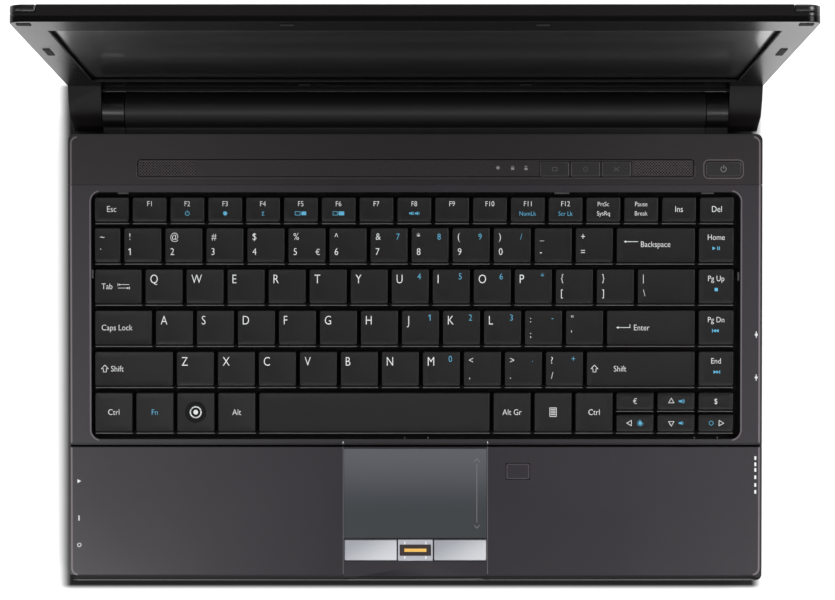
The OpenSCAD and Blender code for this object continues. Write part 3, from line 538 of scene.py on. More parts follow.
# %% Copy a node with soft edges
LEAST_CORNER = math.radians(38)
ROLL_CUTS = (0, 25, 45, 62, 78)
FRONT_LIP = (2.8, 1.8)


def frame_copy(node):
    bm = bmesh.new()
    bm.from_mesh(nodes[node].data)
    bmesh.ops.remove_doubles(bm, verts=bm.verts, dist=0.002 * MM)
    bmesh.ops.dissolve_limit(bm, angle_limit=math.radians(0.5), verts=bm.verts, edges=bm.edges)
    return bm


def soften(bm, width):
    """Bevels the sharp edges that point outwards, and marks the new faces for a painted highlight."""
    is_edge = bm.faces.layers.float.new("edge")
    sharp = [edge for edge in bm.edges if len(edge.link_faces) == 2
             and edge.calc_face_angle_signed(0) > LEAST_CORNER]
    for face in bevel(bm, sharp, width * MM, clamp=True):
        face[is_edge] = 1.0
    return len(sharp)


def roll_front(bm, depth, drop):
    """Rolls the front edge down in a quarter ellipse: it starts this depth back and drops this far."""
    bm.transform(to_deck)
    front = min(vert.co.y for vert in bm.verts)
    bmesh.ops.triangulate(bm, faces=bm.faces)
    for angle in ROLL_CUTS:
        cut = front + depth * (1 - math.sin(math.radians(angle)))
        bmesh.ops.bisect_plane(bm, geom=[*bm.verts, *bm.edges, *bm.faces], plane_co=(0, cut, 0),
                               plane_no=(0, 1, 0))
    for vert in bm.verts:
        share = 1 - (vert.co.y - front) / depth
        if 0 < share and vert.co.z > -drop / 2:
            vert.co.z -= drop * (1 - math.sqrt(max(0, 1 - share * share)))
    bm.transform(deck)
    bmesh.ops.dissolve_limit(bm, angle_limit=math.radians(0.5), verts=bm.verts, edges=bm.edges)


def round_corners(bm, places, radius):
    """Rounds the upright edges that stand at these places of the deck board."""
    found = []
    for edge in bm.edges:
        low, high = (to_deck @ vert.co for vert in edge.verts)
        upright = math.hypot(low.x - high.x, low.y - high.y) < 0.05 and abs(low.z - high.z) > 1
        if upright and any(math.hypot(low.x - x, low.y - y) < 0.3 for x, y in places):
            found.append(edge)
    bevel(bm, found, radius * MM, 4, clamp=True)
    return len(found)


def four_corners(left, right, front, back):
    return [(x, y) for x in (left, right) for y in (front, back)]


ROUNDED = {
    "power_button": (four_corners(134.5, 151.3, -19.8, -12.8), 1.6),
    "middle_cover": (four_corners(134.2, 151.6, -20.1, -12.5), 1.9),
    "touchpad_lock_button": (four_corners(42.3, 53.0, -160.2, -153.1), 0.8),
}


def softened(node, finish, width):
    """Adds a copy of a node with soft edges, in the node's place."""
    bm = frame_copy(node)
    if node == "upper_case":
        roll_front(bm, *FRONT_LIP)
    if node in ROUNDED:
        print(node, "rounded", round_corners(bm, *ROUNDED[node]))
    count = soften(bm, width)
    open_edges = sum(1 for edge in bm.edges if len(edge.link_faces) != 2)
    print(node, "bevelled", count, "faces", len(bm.faces), "open", open_edges)
    add_piece(bm, node + "_shell", Matrix(), body_of(node), finish, [node])


# %% [markdown]
# ## The shells, one by one
# A small part gets a finer bevel than a large one, or the bevel would eat its shape. The table gives
# each shell its finish, its slot and the width of its soft edge in millimetres.

# %% Add the shells
SHELLS = [
    ("lower_case", tub_plastic, "case", 0.3),
    ("upper_case", palm_paint, "deck", 0.45),
    ("middle_cover", cover_paint, "deck_cover", 0.45),
    ("control_strip", strip_plastic, "strip", 0.1),
    ("battery_pack", barrel_plastic, "battery", 0.3),
    ("left_hinge_cap", cap_plastic, "hinge_cap", 0.5),
    ("right_hinge_cap", cap_plastic, "hinge_cap", 0.5),
    ("lid_cover", chin_plastic, "lid_shell", 0.4),
    ("lid_bezel", bezel_plastic, "bezel", 0.25),
    ("left_lid_corner", corner_plastic, "lid_corner", 0.5),
    ("right_lid_corner", corner_plastic, "lid_corner", 0.5),
    ("lid_bumpers", rubber, "foot_rubber", 0.1),
    ("touchpad_panel", touchpad_blue, "touchpad", 0.1),
    ("left_click_button", click_metal, "click_button", 0.35),
    ("right_click_button", click_metal, "click_button", 0.35),
    ("touchpad_lock_button", lock_plastic, "button", 0.4),
    ("launch_button_1", button_plastic, "button", 0.4),
    ("launch_button_2", button_plastic, "button", 0.4),
    ("launch_button_3", button_plastic, "button", 0.4),
    ("power_button", button_plastic, "button", 0.45),
    ("fingerprint_reader", trim_metal, "reader", 0.1),
    ("service_cover", tub_plastic, "case", 0.25),
    ("rubber_feet", rubber, "foot_rubber", 0.3),
    ("battery_latch", button_plastic, "button", 0.2),
    ("battery_lock", button_plastic, "button", 0.2),
]
for node, finish, slot, width in SHELLS:
    softened(node, finish, width)

# %% [markdown]
# ## One box for each key
# A whole row of keys is one node of the frame, with a separate solid for each key. The solids are told
# apart by walking along their edges: whatever can be reached from one vertex is the same solid.

# %% Find each key's box
def loose_groups(bm):
    """The vertices of each separate solid."""
    unseen, groups = set(bm.verts), []
    while unseen:
        group, waiting = set(), [unseen.pop()]
        while waiting:
            vert = waiting.pop()
            group.add(vert)
            near = {link.other_vert(vert) for link in vert.link_edges} & unseen
            unseen -= near
            waiting.extend(near)
        groups.append(group)
    return groups


def loose_boxes(node):
    """The box of each separate solid in a node, on the deck board, from back left to front right."""
    bm = frame_copy(node)
    bm.transform(to_deck)
    boxes = []
    for group in loose_groups(bm):
        low = Vector([min(vert.co[axis] for vert in group) for axis in range(3)])
        high = Vector([max(vert.co[axis] for vert in group) for axis in range(3)])
        boxes.append((low, high))
    bm.free()
    return sorted(boxes, key=lambda box: (-round(box[1].y), box[0].x))


KEY_NODES = {
    "function_keys": letter_plastic, "number_keys": letter_plastic, "top_letter_keys": letter_plastic,
    "home_letter_keys": letter_plastic, "lower_letter_keys": letter_plastic,
    "bottom_row_keys": wide_plastic, "space_bar": wide_plastic, "arrow_keys": letter_plastic,
    "navigation_keys": letter_plastic,
}
key_boxes = {node: loose_boxes(node) for node in KEY_NODES}
print("keys", sum(len(boxes) for boxes in key_boxes.values()))

# %% [markdown]
# ## Keycaps
# A keycap is a thin shell: a flat or slightly dished top, walls that lean out, and an open
# underside. It could be sculpted once and copied, but the keys have many widths. So each cap is made
# from its own box: a cube is tapered, its upright edges and its top rim are bevelled, the top is
# inset and sunk a hair, and the shell gets its thickness last. A thin pale strip along the foot
# of each front skirt is a painted highlight, where the skirt's edge catches the light.

# %% Model the caps
SIDE_SKIRT, BACK_SKIRT, FRONT_SKIRT = 0.4, 0.4, 0.9
KEY_WALL, KEY_ROOF = 0.9, 1.0
KEY_CORNER, KEY_RIM = 0.9, 0.5
DISH, DISH_EDGE, DISH_RIM = 0.12, 2.2, 0.05
SKIRT_LINE = (0.34, 0.3)


def shrink(bm, verts, low, high, margin, drop=0.0):
    """Draws these vertices in by a margin on every side of a box, and down."""
    centre, size = (low + high) / 2, high - low
    narrower = Matrix.Diagonal((1 - 2 * margin / size.x, 1 - 2 * margin / size.y, 1, 1))
    about = Matrix.Translation(centre + Vector((0, 0, -drop))) @ narrower @ Matrix.Translation(-centre)
    bmesh.ops.transform(bm, matrix=about, verts=verts)


def hollow(bm, low, high):
    """Turns the open rim inwards, up and shut, so that the cap is a shell with an open underside."""
    rim = [edge for edge in bm.edges if edge.is_boundary]
    for inwards in (True, False):
        made = bmesh.ops.extrude_edge_only(bm, edges=rim)["geom"]
        verts = [item for item in made if isinstance(item, bmesh.types.BMVert)]
        rim = [item for item in made if isinstance(item, bmesh.types.BMEdge)]
        if inwards:
            shrink(bm, verts, low, high, KEY_WALL)
        else:
            bmesh.ops.translate(bm, vec=(0, 0, high.z - low.z - KEY_ROOF), verts=verts)
    bmesh.ops.contextual_create(bm, geom=rim)


def keycap(low, high):
    bm = bmesh.new()
    middle, size = (low + high) / 2, high - low
    add_box(bm, middle, size)
    for vert in bm.verts:
        if vert.co.z > middle.z:
            vert.co.x += SIDE_SKIRT if vert.co.x < middle.x else -SIDE_SKIRT
            vert.co.y += FRONT_SKIRT if vert.co.y < middle.y else -BACK_SKIRT
    upright = [edge for edge in bm.edges if abs(edge.verts[0].co.z - edge.verts[1].co.z) > size.z / 2]
    bevel(bm, upright, KEY_CORNER, 3)
    under = [face for face in bm.faces if face.normal.z < -0.9]
    bmesh.ops.delete(bm, geom=under, context="FACES_ONLY")
    top = max(bm.faces, key=lambda face: face.calc_center_median().z)
    bevel(bm, list(top.edges), KEY_RIM, 3)
    top = max(bm.faces, key=lambda face: (round(face.calc_center_median().z, 3), face.calc_area()))
    bmesh.ops.inset_individual(bm, faces=[top], thickness=DISH_RIM, depth=0)
    shrink(bm, top.verts, low, high, DISH_EDGE, DISH)
    hollow(bm, low, high)
    return bm


def skirt_highlights(boxes):
    """Pale strips along the foot of each key's front skirt: a painted highlight where the skirt's edge
    catches the light.
    """
    bm = bmesh.new()
    for low, high in boxes:
        add_box(bm, ((low.x + high.x) / 2, low.y + 0.1, low.z + 0.8), (high.x - low.x - 0.9, *SKIRT_LINE))
    return bm


def join_into(target, source):
    """Adds one bmesh to another."""
    mesh = bpy.data.meshes.new("part")
    source.to_mesh(mesh)
    source.free()
    target.from_mesh(mesh)
    bpy.data.meshes.remove(mesh)


for node, finish in KEY_NODES.items():
    caps = bmesh.new()
    for low, high in key_boxes[node]:
        join_into(caps, keycap(low, high))
    add_piece(caps, node + "_caps", deck, body_of(node), finish, [node])
    # Painted highlight: a pale strip along the foot of each key's front skirt.
    edges = skirt_highlights(key_boxes[node])
    add_piece(edges, node + "_skirt_edges", deck, body_of(node), skirt_highlight_grey)
    print(node, len(key_boxes[node]), "caps")

# %% [markdown]
# ## What gives way under the keys
# Each key stands on a rubber dome and is guided by crossed arms. Both fold as the key goes down. So
# each row's domes and arms are copied into pieces of their own.


def under_row(node, row):
    """The solids of this node that stand under one row of keys, on the deck board."""
    bm = frame_copy(node)
    bm.transform(to_deck)
    kept = 0
    for group in loose_groups(bm):
        centre = sum((vert.co for vert in group), Vector()) / len(group)
        if any(low.x < centre.x < high.x and low.y < centre.y < high.y for low, high in key_boxes[row]):
            kept += 1
        else:
            bmesh.ops.delete(bm, geom=list(group), context="VERTS")
    return bm, kept


def fold_with_row(node, row, finish):
    """Adds the piece under one row, and returns how many solids it keeps and their height."""
    bm, kept = under_row(node, row)
    foot = min(vert.co.z for vert in bm.verts)
    height = max(vert.co.z for vert in bm.verts) - foot
    piece = add_piece(bm, row + "_" + node, deck, body_of(node), finish, [node])
    row + "_press"
    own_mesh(piece)
    return kept, round(height, 2)


for row in KEY_NODES:
    domes = fold_with_row("rubber_domes", row, dome_rubber)
    arms = fold_with_row("scissor_links", row, link_white)
    print(row, "domes and height", domes, "arms and height", arms)

# %% [markdown]
# ## Letters as meshes
# The legends are ink on the keys. A painted texture would need an image, so each word is a text
# object turned into a mesh. It is made once, one unit thick, and copied wherever the word stands.

# %% Words as meshes
CURVE_STEPS = 3
THINNER = -0.008
glyph_cache = {}


def glyphs(text):
    """The mesh of a word, one unit thick and standing on y = 0, made once and then kept."""
    if text not in glyph_cache:
        word = bpy.data.curves.new("word", "FONT")
        word.body = text
        word.resolution_u = CURVE_STEPS
        word.extrude = 0.5
        word.offset = THINNER
        holder = stand("word", word)
        graph = bpy.context.evaluated_depsgraph_get()
        glyph_cache[text] = bpy.data.meshes.new_from_object(holder.evaluated_get(graph))
        bpy.data.objects.remove(holder)
    return glyph_cache[text]


CAPITAL = max(vert.co.y for vert in glyphs("H").vertices)
print("height of a capital", round(CAPITAL, 3))

# %% [markdown]
# ## Sheets of ink
# Marks that lie on one face share one mesh. A small class collects them: words, bars, dots, rings and
# arrows are put down by their place in millimetres, and each gets the thickness of a coat of ink.

# %% Ink: words and simple signs
INK, INK_SINK = 0.03, 0.1
THICK = INK + INK_SINK
STROKE_OF_ONE = 0.13


class Ink:
    """One sheet of ink: marks on a board at height z, in millimetres."""

    def __init__(self, z):
        self.bm, self.z = bmesh.new(), z

    def spot(self, x, y, turn=0.0):
        middle = self.z + (INK - INK_SINK) / 2
        return Matrix.Translation((x, y, middle)) @ Matrix.Rotation(math.radians(turn), 4, "Z")

    def word(self, text, x, y, capital, align=0.0, narrow=0.88):
        """Capitals of this height stand on y. align is 0 for x at the left, 0.5 centred, 1 right.
        The digit 1 is drawn as two bars."""
        if text == "1":
            stem, wide = x + 0.12 * capital, STROKE_OF_ONE * capital
            self.bar(stem, y + capital / 2, wide, capital)
            self.line(x - 0.1 * capital, y + 0.78 * capital, stem, y + 0.94 * capital, wide)
            return
        mesh = glyphs(text).copy()
        size = capital / CAPITAL
        xs = [vert.co.x for vert in mesh.vertices]
        shift = min(xs) + align * (max(xs) - min(xs))
        mesh.transform(self.spot(x, y) @ Matrix.Diagonal((size * narrow, size, THICK, 1))
                       @ Matrix.Translation((-shift, 0, 0)))
        self.bm.from_mesh(mesh)
        bpy.data.meshes.remove(mesh)

    def bar(self, x, y, width, depth, turn=0.0):
        add_box(self.bm, (x, y, self.z + (INK - INK_SINK) / 2), (width, depth, THICK), turn)

    def disc(self, x, y, radius, segments=16, turn=0.0):
        """A dot, or with 3 segments a triangle whose point is at turn, in degrees from +X."""
        bmesh.ops.create_cone(self.bm, cap_ends=True, segments=segments, radius1=radius, radius2=radius,
                              depth=THICK, matrix=self.spot(x, y, turn - 90))

    def ring(self, x, y, radius, line=0.3, start=0.0, sweep=360.0, segments=20):
        """A ring, or an arc that begins at start and sweeps anticlockwise."""
        part = bmesh.new()
        section = [part.verts.new((radius + side * line / 2, 0, rise * THICK / 2))
                   for side, rise in ((-1, -1), (1, -1), (1, 1), (-1, 1))]
        face = part.faces.new(section)
        whole = sweep >= 360
        bmesh.ops.spin(part, geom=[face, *face.edges, *section], cent=(0, 0, 0), axis=(0, 0, 1),
                       angle=math.radians(sweep), steps=segments, use_merge=whole)
        if whole:
            bmesh.ops.delete(part, geom=[face], context="FACES_ONLY")
        part.transform(self.spot(x, y, start))
        join_into(self.bm, part)

    def box(self, x, y, width, depth, line=0.3):
        """Four bars round a box about its centre."""
        left, right, front, back = x - width / 2, x + width / 2, y - depth / 2, y + depth / 2
        self.outline([(left, front), (right, front), (right, back), (left, back)], line)

    def outline(self, points, line=0.3):
        """Bars from point to point, closed."""
        for (x0, y0), (x1, y1) in zip(points, points[1:] + points[:1]):
            self.line(x0, y0, x1, y1, line)

    def line(self, x0, y0, x1, y1, line=0.3):
        turn = math.degrees(math.atan2(y1 - y0, x1 - x0))
        self.bar((x0 + x1) / 2, (y0 + y1) / 2, math.hypot(x1 - x0, y1 - y0) + line, line, turn)

    def arrow(self, x, y, length, turn=180.0, line=0.28, head=1.1):
        """A thin arrow whose middle is at x, y."""
        along = Vector((math.cos(math.radians(turn)), math.sin(math.radians(turn))))
        tip = Vector((x, y)) + along * length / 2
        tail = Vector((x, y)) - along * length / 2
        neck = tip - along * head
        self.line(*tail, *neck, line)
        self.disc(*(tip - along * head * 0.6), head * 0.62, 3, turn)

    def print_on(self, name, body, finish, slot):
        """Makes the marks a piece, unless there are none."""
        if self.bm.verts:
            add_piece(self.bm, name, deck, body, finish)
        else:
            self.bm.free()


# %% [markdown]
# ## What each key says
# Letters, digits and plain words are on every keyboard. They are listed once, row by row, in the
# order of the keys, and one function sets each kind where it belongs on its key. Function signs are
# plain shapes: a ring, a box, a bar.

# %% Legend tables
BLUE_DIGITS = {"U": "4", "I": "5", "O": "6", "P": "*", "J": "1", "K": "2", "L": "3", "M": "0"}
BLUE_SIGNS = [("home_letter_keys", 10, "-"), ("lower_letter_keys", 9, "."), ("lower_letter_keys", 10, "+")]
NUMBER_ROW = ["~`", "!1", "@2", "#3", "$4", "%5", "^6", "&7", "*8", "(9", ")0", "_-", "+="]
NUMBER_BLUE = {7: "7", 8: "8", 9: "9", 10: "/"}
FUNCTION_ROW = ["Esc", "F1", "F2", "F3", "F4", "F5", "F6", "F7", "F8", "F9", "F10", "F11 NumLk",
                "F12 Scr Lk", "PrtSc/SysRq", "Pause/Break", "Ins", "Del"]
LETTER_ROWS = {
    "top_letter_keys": ["Tab", *"QWERTYUIOP", "{[", "}]", "|\\"],
    "home_letter_keys": ["Caps Lock", *"ASDFGHJKL", ":;", "\"'", "Enter"],
    "lower_letter_keys": ["Shift", *"ZXCVBNM", "<,", ">.", "?/", "Shift"],
}
BOTTOM_ROW = ["Ctrl", "Fn", "", "Alt", "Alt Gr", "", "Ctrl"]
NAVIGATION = ["Home", "Pg Up", "Pg Dn", "End"]
WORD, LETTER, DIGIT, SMALL = 2.6, 4.0, 3.1, 2.3
FIRST_DOWN, SECOND_DOWN = 2.6 + DIGIT, 9.6 + DIGIT
BLUE_ACROSS, BLUE_DOWN, BLUE_NUMBER_DOWN = 0.74, 4.9, 5.6
BESIDE_ARROW, BESIDE_SHIFT, AT_LEFT = 12.6, 7.5, 3.2
print("letter keys", sum(len(row) for row in LETTER_ROWS.values()))

# %% [markdown]
# ## Where each legend stands
# A letter stands in the left back corner of its key, two signs stand one behind the other, and a word
# stands at mid height. Small helpers measure from the edges of the key's top face, so a wide key and
# a narrow one need no rules of their own.

# %% Helpers for the legends
key_top = key_boxes["space_bar"][0][1].z
white = {node: Ink(key_top) for node in KEY_NODES}
blue = {node: Ink(key_top) for node in KEY_NODES}


def top_of(node, index):
    """Left, right, front and back of a key's top face."""
    low, high = key_boxes[node][index]
    return low.x + SIDE_SKIRT, high.x - SIDE_SKIRT, low.y + FRONT_SKIRT, high.y - BACK_SKIRT


def middle_of(node, index):
    """The middle of a key's top face, and its front and back."""
    left, right, front, back = top_of(node, index)
    return (left + right) / 2, (front + back) / 2, front, back


def two_signs(node, index, upper, lower):
    left, right, front, back = top_of(node, index)
    white[node].word(upper, left + 2.5, back - FIRST_DOWN, DIGIT)
    white[node].word(lower, left + 2.5, back - SECOND_DOWN, DIGIT)


def blue_sign(node, index, text, down=BLUE_DOWN):
    left, right, front, back = top_of(node, index)
    blue[node].word(text, left + BLUE_ACROSS * (right - left), back - down, WORD + 0.2, 0.5)


def word_beside(node, index, text, inset, rise=0.0):
    left, right, front, back = top_of(node, index)
    white[node].word(text, left + inset, (front + back - WORD) / 2 + rise, WORD)


print("tops of the keys at", round(key_top, 2))

# %% [markdown]
# ## Printing the legends
# The rows differ in what they carry, so each kind of row has a short function of its own.

# %% Print the legends
def letter_row(node, texts):
    for index, text in enumerate(texts):
        left, right, front, back = top_of(node, index)
        if len(text) == 1:
            white[node].word(text, left + 2.4, back - 2.7 - LETTER, LETTER, narrow=0.8)
        elif len(text) == 2:
            two_signs(node, index, *text)
        elif index:
            word_beside(node, index, text, BESIDE_ARROW)
        else:
            word_beside(node, index, text, BESIDE_SHIFT if text == "Shift" else AT_LEFT)
        if text in BLUE_DIGITS:
            blue_sign(node, index, BLUE_DIGITS[text])


def number_row(node):
    for index, (upper, lower) in enumerate(NUMBER_ROW):
        two_signs(node, index, upper, lower)
        if index in NUMBER_BLUE:
            blue_sign(node, index, NUMBER_BLUE[index], BLUE_NUMBER_DOWN)
    left, right, front, back = top_of(node, 5)
    white[node].word("€", right - 4.6, back - SECOND_DOWN, WORD)
    word_beside(node, len(NUMBER_ROW), "Backspace", 11.3, 0.4)


def function_row(node):
    for index, text in enumerate(FUNCTION_ROW):
        x, y, front, back = middle_of(node, index)
        first_y = back - 2.0 - SMALL
        if text.startswith("F"):
            name, gap, second = text.partition(" ")
            white[node].word(name, x, first_y, SMALL, 0.5)
            if second:
                blue[node].word(second, x, front + 2.9, SMALL - 0.3, 0.5)
        elif "/" in text:
            for word, word_y in zip(text.split("/"), (first_y, front + 3.0)):
                white[node].word(word, x, word_y, SMALL - 0.3, 0.5)
        else:
            white[node].word(text, x, y - SMALL / 2, SMALL + 0.4, 0.5)


for node, texts in LETTER_ROWS.items():
    letter_row(node, texts)
for node, index, text in BLUE_SIGNS:
    blue_sign(node, index, text)
number_row("number_keys")
function_row("function_keys")
for index, text in enumerate(BOTTOM_ROW):
    x, y, front, back = middle_of("bottom_row_keys", index)
    sheet = blue if text == "Fn" else white
    if text:
        sheet["bottom_row_keys"].word(text, x, y - WORD / 2, WORD, 0.5)
for index, text in enumerate(NAVIGATION):
    x, y, front, back = middle_of("navigation_keys", index)
    white["navigation_keys"].word(text, x, back - 3.4 - SMALL, SMALL + 0.2, 0.5)
print("different words", len(glyph_cache))

# %% [markdown]
# ## Arrows and function signs
# Tab, Shift, Enter and Backspace carry plain arrows. The second function of a key is a small blue
# sign, drawn here with discs, rings, boxes and bars.

# %% Signs on the keys
THIRD = math.tau / 3


def speaker(ink, x, y, waves=1):
    ink.bar(x - 0.8, y, 0.7, 0.8)
    ink.disc(x - 0.1, y, 0.95, 3, 180)
    for wave in range(waves):
        ink.ring(x, y, 0.9 + 0.5 * wave, 0.22, -45, 90, 6)


def power_sign(ink, x, y, radius, line, rise, length):
    """A broken ring with a bar in the gap."""
    ink.ring(x, y, radius, line, 120, 300)
    ink.bar(x, y + rise, line, length)


def shift_and_enter_signs():
    for index, inset in ((0, 4.6), (11, 3.6)):
        left, right, front, back = top_of("lower_letter_keys", index)
        x, y = left + inset, (front + back) / 2
        points = [(-0.7, -1.5), (0.7, -1.5), (0.7, 0), (1.6, 0), (0, 1.7), (-1.6, 0), (-0.7, 0)]
        white["lower_letter_keys"].outline([(x + across, y + up) for across, up in points], 0.25)
    left, right, front, back = top_of("home_letter_keys", 12)
    y = (front + back) / 2
    white["home_letter_keys"].arrow(left + 7.6, y, 6.4)
    white["home_letter_keys"].line(left + 10.7, y, left + 10.7, y + 1.4, 0.28)


def backspace_and_tab_signs():
    left, right, front, back = top_of("number_keys", 13)
    white["number_keys"].arrow(left + 6.6, (front + back) / 2 + 1.6, 6.4)
    left, right, front, back = top_of("top_letter_keys", 0)
    for rise, turn, stop in ((0.8, 180, 10.7), (-0.8, 0, 16.1)):
        y = (front + back) / 2 + rise
        white["top_letter_keys"].arrow(left + 13.4, y, 5.0, turn, 0.22, 0.9)
        white["top_letter_keys"].bar(left + stop, y, 0.22, 1.3)


def function_signs():
    ink = blue["function_keys"]
    for index in (2, 3, 4, 5, 6, 8):
        x, middle, front, back = middle_of("function_keys", index)
        y = front + 4.0
        if index == 2:
            power_sign(ink, x, y, 0.95, 0.26, 0.8, 1.2)
        elif index == 3:
            ink.disc(x, y, 0.95)
        elif index == 4:
            ink.word("z", x, y - 1.0, 2.6, 0.5)
        elif index == 5:
            ink.box(x - 1.45, y, 2.3, 1.6, 0.24)
            ink.bar(x + 1.4, y, 2.2, 1.7)
        elif index == 6:
            ink.box(x - 1.55, y, 2.1, 1.6, 0.24)
            ink.bar(x + 1.3, y, 2.6, 1.8)
        else:
            speaker(ink, x - 1.2, y)
            speaker(ink, x + 1.4, y)


shift_and_enter_signs()
backspace_and_tab_signs()
function_signs()
print("signs on the letter and function keys")

# %% [markdown]
# ## Signs on the arrow and media keys
# Each arrow key has an open triangle and a small blue sign beside it, and the two keys beside the
# upper arrow carry currency signs. The Home, Page and End keys have signs for playing, stopping and
# moving on.

# %% Arrow and media signs
def navigation_signs():
    ink = blue["navigation_keys"]
    for index in range(4):
        x, middle, front, back = middle_of("navigation_keys", index)
        y = back - 9.6
        if index == 0:
            ink.disc(x - 1.3, y, 0.95, 3, 0)
            ink.bar(x + 0.6, y, 0.4, 1.6)
            ink.bar(x + 1.4, y, 0.4, 1.6)
        elif index == 1:
            ink.bar(x, y, 1.5, 1.5)
        else:
            side, turn = (-1, 180) if index == 2 else (1, 0)
            ink.disc(x - 0.7 * side, y, 0.9, 3, turn)
            ink.disc(x + 0.6 * side, y, 0.9, 3, turn)
            ink.bar(x + 1.7 * side, y, 0.35, 1.6)


def arrow_signs():
    ink, second = white["arrow_keys"], blue["arrow_keys"]
    for index, turn, shift in ((1, 90, -2.2), (3, 180, -2.4), (4, -90, -2.2), (5, 0, 2.2)):
        x, y, front, back = middle_of("arrow_keys", index)
        angles = [math.radians(turn) + THIRD * step for step in range(3)]
        points = [(x + shift + 1.45 * math.cos(angle), y + 1.45 * math.sin(angle)) for angle in angles]
        ink.outline(points, 0.24)
        if index in (1, 4):
            speaker(second, x + 2.4, y, 2 if index == 1 else 1)
        elif index == 3:
            second.disc(x + 2.4, y, 0.85)
            second.ring(x + 2.4, y, 1.3, 0.2)
        else:
            second.ring(x - 2.2, y, 0.95, 0.26)
    for index, sign in ((0, "€"), (2, "$")):
        x, y, front, back = middle_of("arrow_keys", index)
        ink.word(sign, x, y - 1.2, 2.4, 0.5)


navigation_signs()
arrow_signs()
print("signs on the arrow and media keys")

# %% [markdown]
# ## Menu key, badge and finger bumps
# The menu key shows a little page with lines. The key left of Alt carries a maker's sign on many
# machines, so here it gets a plain dark round badge with a ring and a dot. F and J have the bump
# that a finger looks for.

# %% Menu key, plain badge, finger bumps
BADGE_RADIUS, BADGE_HEIGHT = 4.9, 0.3
x, y, front, back = middle_of("bottom_row_keys", 5)
menu = white["bottom_row_keys"]
menu.box(x, y, 3.0, 4.0)
for rise in (-1.1, -0.3, 0.5, 1.3):
    menu.bar(x, y + rise, 2.2, 0.35)

x, y, front, back = middle_of("bottom_row_keys", 2)
badge = bmesh.new()
bmesh.ops.create_cone(badge, cap_ends=True, segments=40, radius1=BADGE_RADIUS, radius2=BADGE_RADIUS,
                      depth=BADGE_HEIGHT, matrix=Matrix.Translation((x, y, key_top - 0.12)))
bevel(badge, [edge for edge in badge.edges if all(vert.co.z > key_top - 0.1 for vert in edge.verts)], 0.12)
add_piece(badge, "plain_badge", deck, body_of("bottom_row_keys"), badge_black)
ring = Ink(key_top + 0.04)
ring.ring(x, y, 2.5, 0.6, segments=32)
ring.disc(x, y, 1.1, 20)
ring.print_on("plain_badge_ring", body_of("bottom_row_keys"), white_ink, "keycap")

bumps = bmesh.new()
for index in (4, 7):
    x, y, front, back = middle_of("home_letter_keys", index)
    add_box(bumps, (x, front + 2.6, key_top - 0.02), (3.2, 0.7, 0.3))
bevel(bumps, bumps.edges[:], 0.14)
add_piece(bumps, "finger_bumps", deck, body_of("home_letter_keys"), wide_plastic)
for node in KEY_NODES:
    white[node].print_on(node + "_white_print", body_of(node), white_ink, "keycap")
    blue[node].print_on(node + "_blue_print", body_of(node), blue_ink, "keycap")
print("sheets of ink on the keys", 2 * len(KEY_NODES))

# %% [markdown]
# ## Speaker grilles
# Each grille is a plate pierced by hundreds of fine holes in a staggered pattern. A grid of small
# squares turned by 45 degrees does it: every square is inset, its middle is taken out, and the plate
# is cut to the pocket of the control strip. Dark cloth lies behind it.

# %% Pierced plates
GRILLE_X, GRILLE_Y = (-114.7, 115.1), -15.9
GRILLE_W, GRILLE_D = 26.2, 6.4
HOLE_PITCH, HOLE_RIM = 0.94, 0.12
STRIP_TOP, POCKET, PLATE = 0.1, 0.4, 0.08
PLATE_LIFT, CLOTH_LIFT, CLOTH = 0.3, 0.04, 0.04


def pierced_plate(centre):
    """A grid of holes at 45 degrees, cut to the grille's box about a centre."""
    plate = bmesh.new()
    count = math.ceil(GRILLE_W * 0.8 / HOLE_PITCH) * 2
    place = Matrix.Translation(centre) @ Matrix.Rotation(math.radians(45), 4, "Z")
    bmesh.ops.create_grid(plate, x_segments=count, y_segments=count, size=count * HOLE_PITCH / 2,
                          matrix=place)
    far = [face for face in plate.faces if abs(face.calc_center_median().y - centre.y) > GRILLE_D
           or abs(face.calc_center_median().x - centre.x) > GRILLE_W / 2 + 2]
    bmesh.ops.delete(plate, geom=far, context="FACES")
    holes = plate.faces[:]
    bmesh.ops.inset_individual(plate, faces=holes, thickness=HOLE_RIM, depth=0)
    bmesh.ops.delete(plate, geom=holes, context="FACES")
    for normal, reach in (((1, 0, 0), GRILLE_W / 2), ((-1, 0, 0), GRILLE_W / 2),
                          ((0, 1, 0), GRILLE_D / 2), ((0, -1, 0), GRILLE_D / 2)):
        bmesh.ops.bisect_plane(plate, geom=[*plate.verts, *plate.edges, *plate.faces], plane_no=normal,
                               plane_co=centre + Vector(normal) * reach, clear_outer=True)
    bmesh.ops.solidify(plate, geom=plate.faces, thickness=PLATE)
    return plate


for side, x in zip(("left", "right"), GRILLE_X):
    plate = pierced_plate(Vector((x, GRILLE_Y, STRIP_TOP - POCKET + PLATE_LIFT)))
    print(side, "grille faces", len(plate.faces))
    add_piece(plate, side + "_grille_plate", deck, "base", grille_plastic)
    cloth = bmesh.new()
    add_box(cloth, (x, GRILLE_Y, STRIP_TOP - POCKET + CLOTH_LIFT), (GRILLE_W, GRILLE_D, CLOTH))
    add_piece(cloth, side + "_grille_cloth", deck, "base", seam_black)

# %% [markdown]
# ## Seam and groove
# A dark seam runs round the control strip, and a black strip in the groove in front of the keyboard is
# painted shade. Both are thin flat bodies laid on the shells, which is simpler than cutting gaps less
# than a millimetre wide.

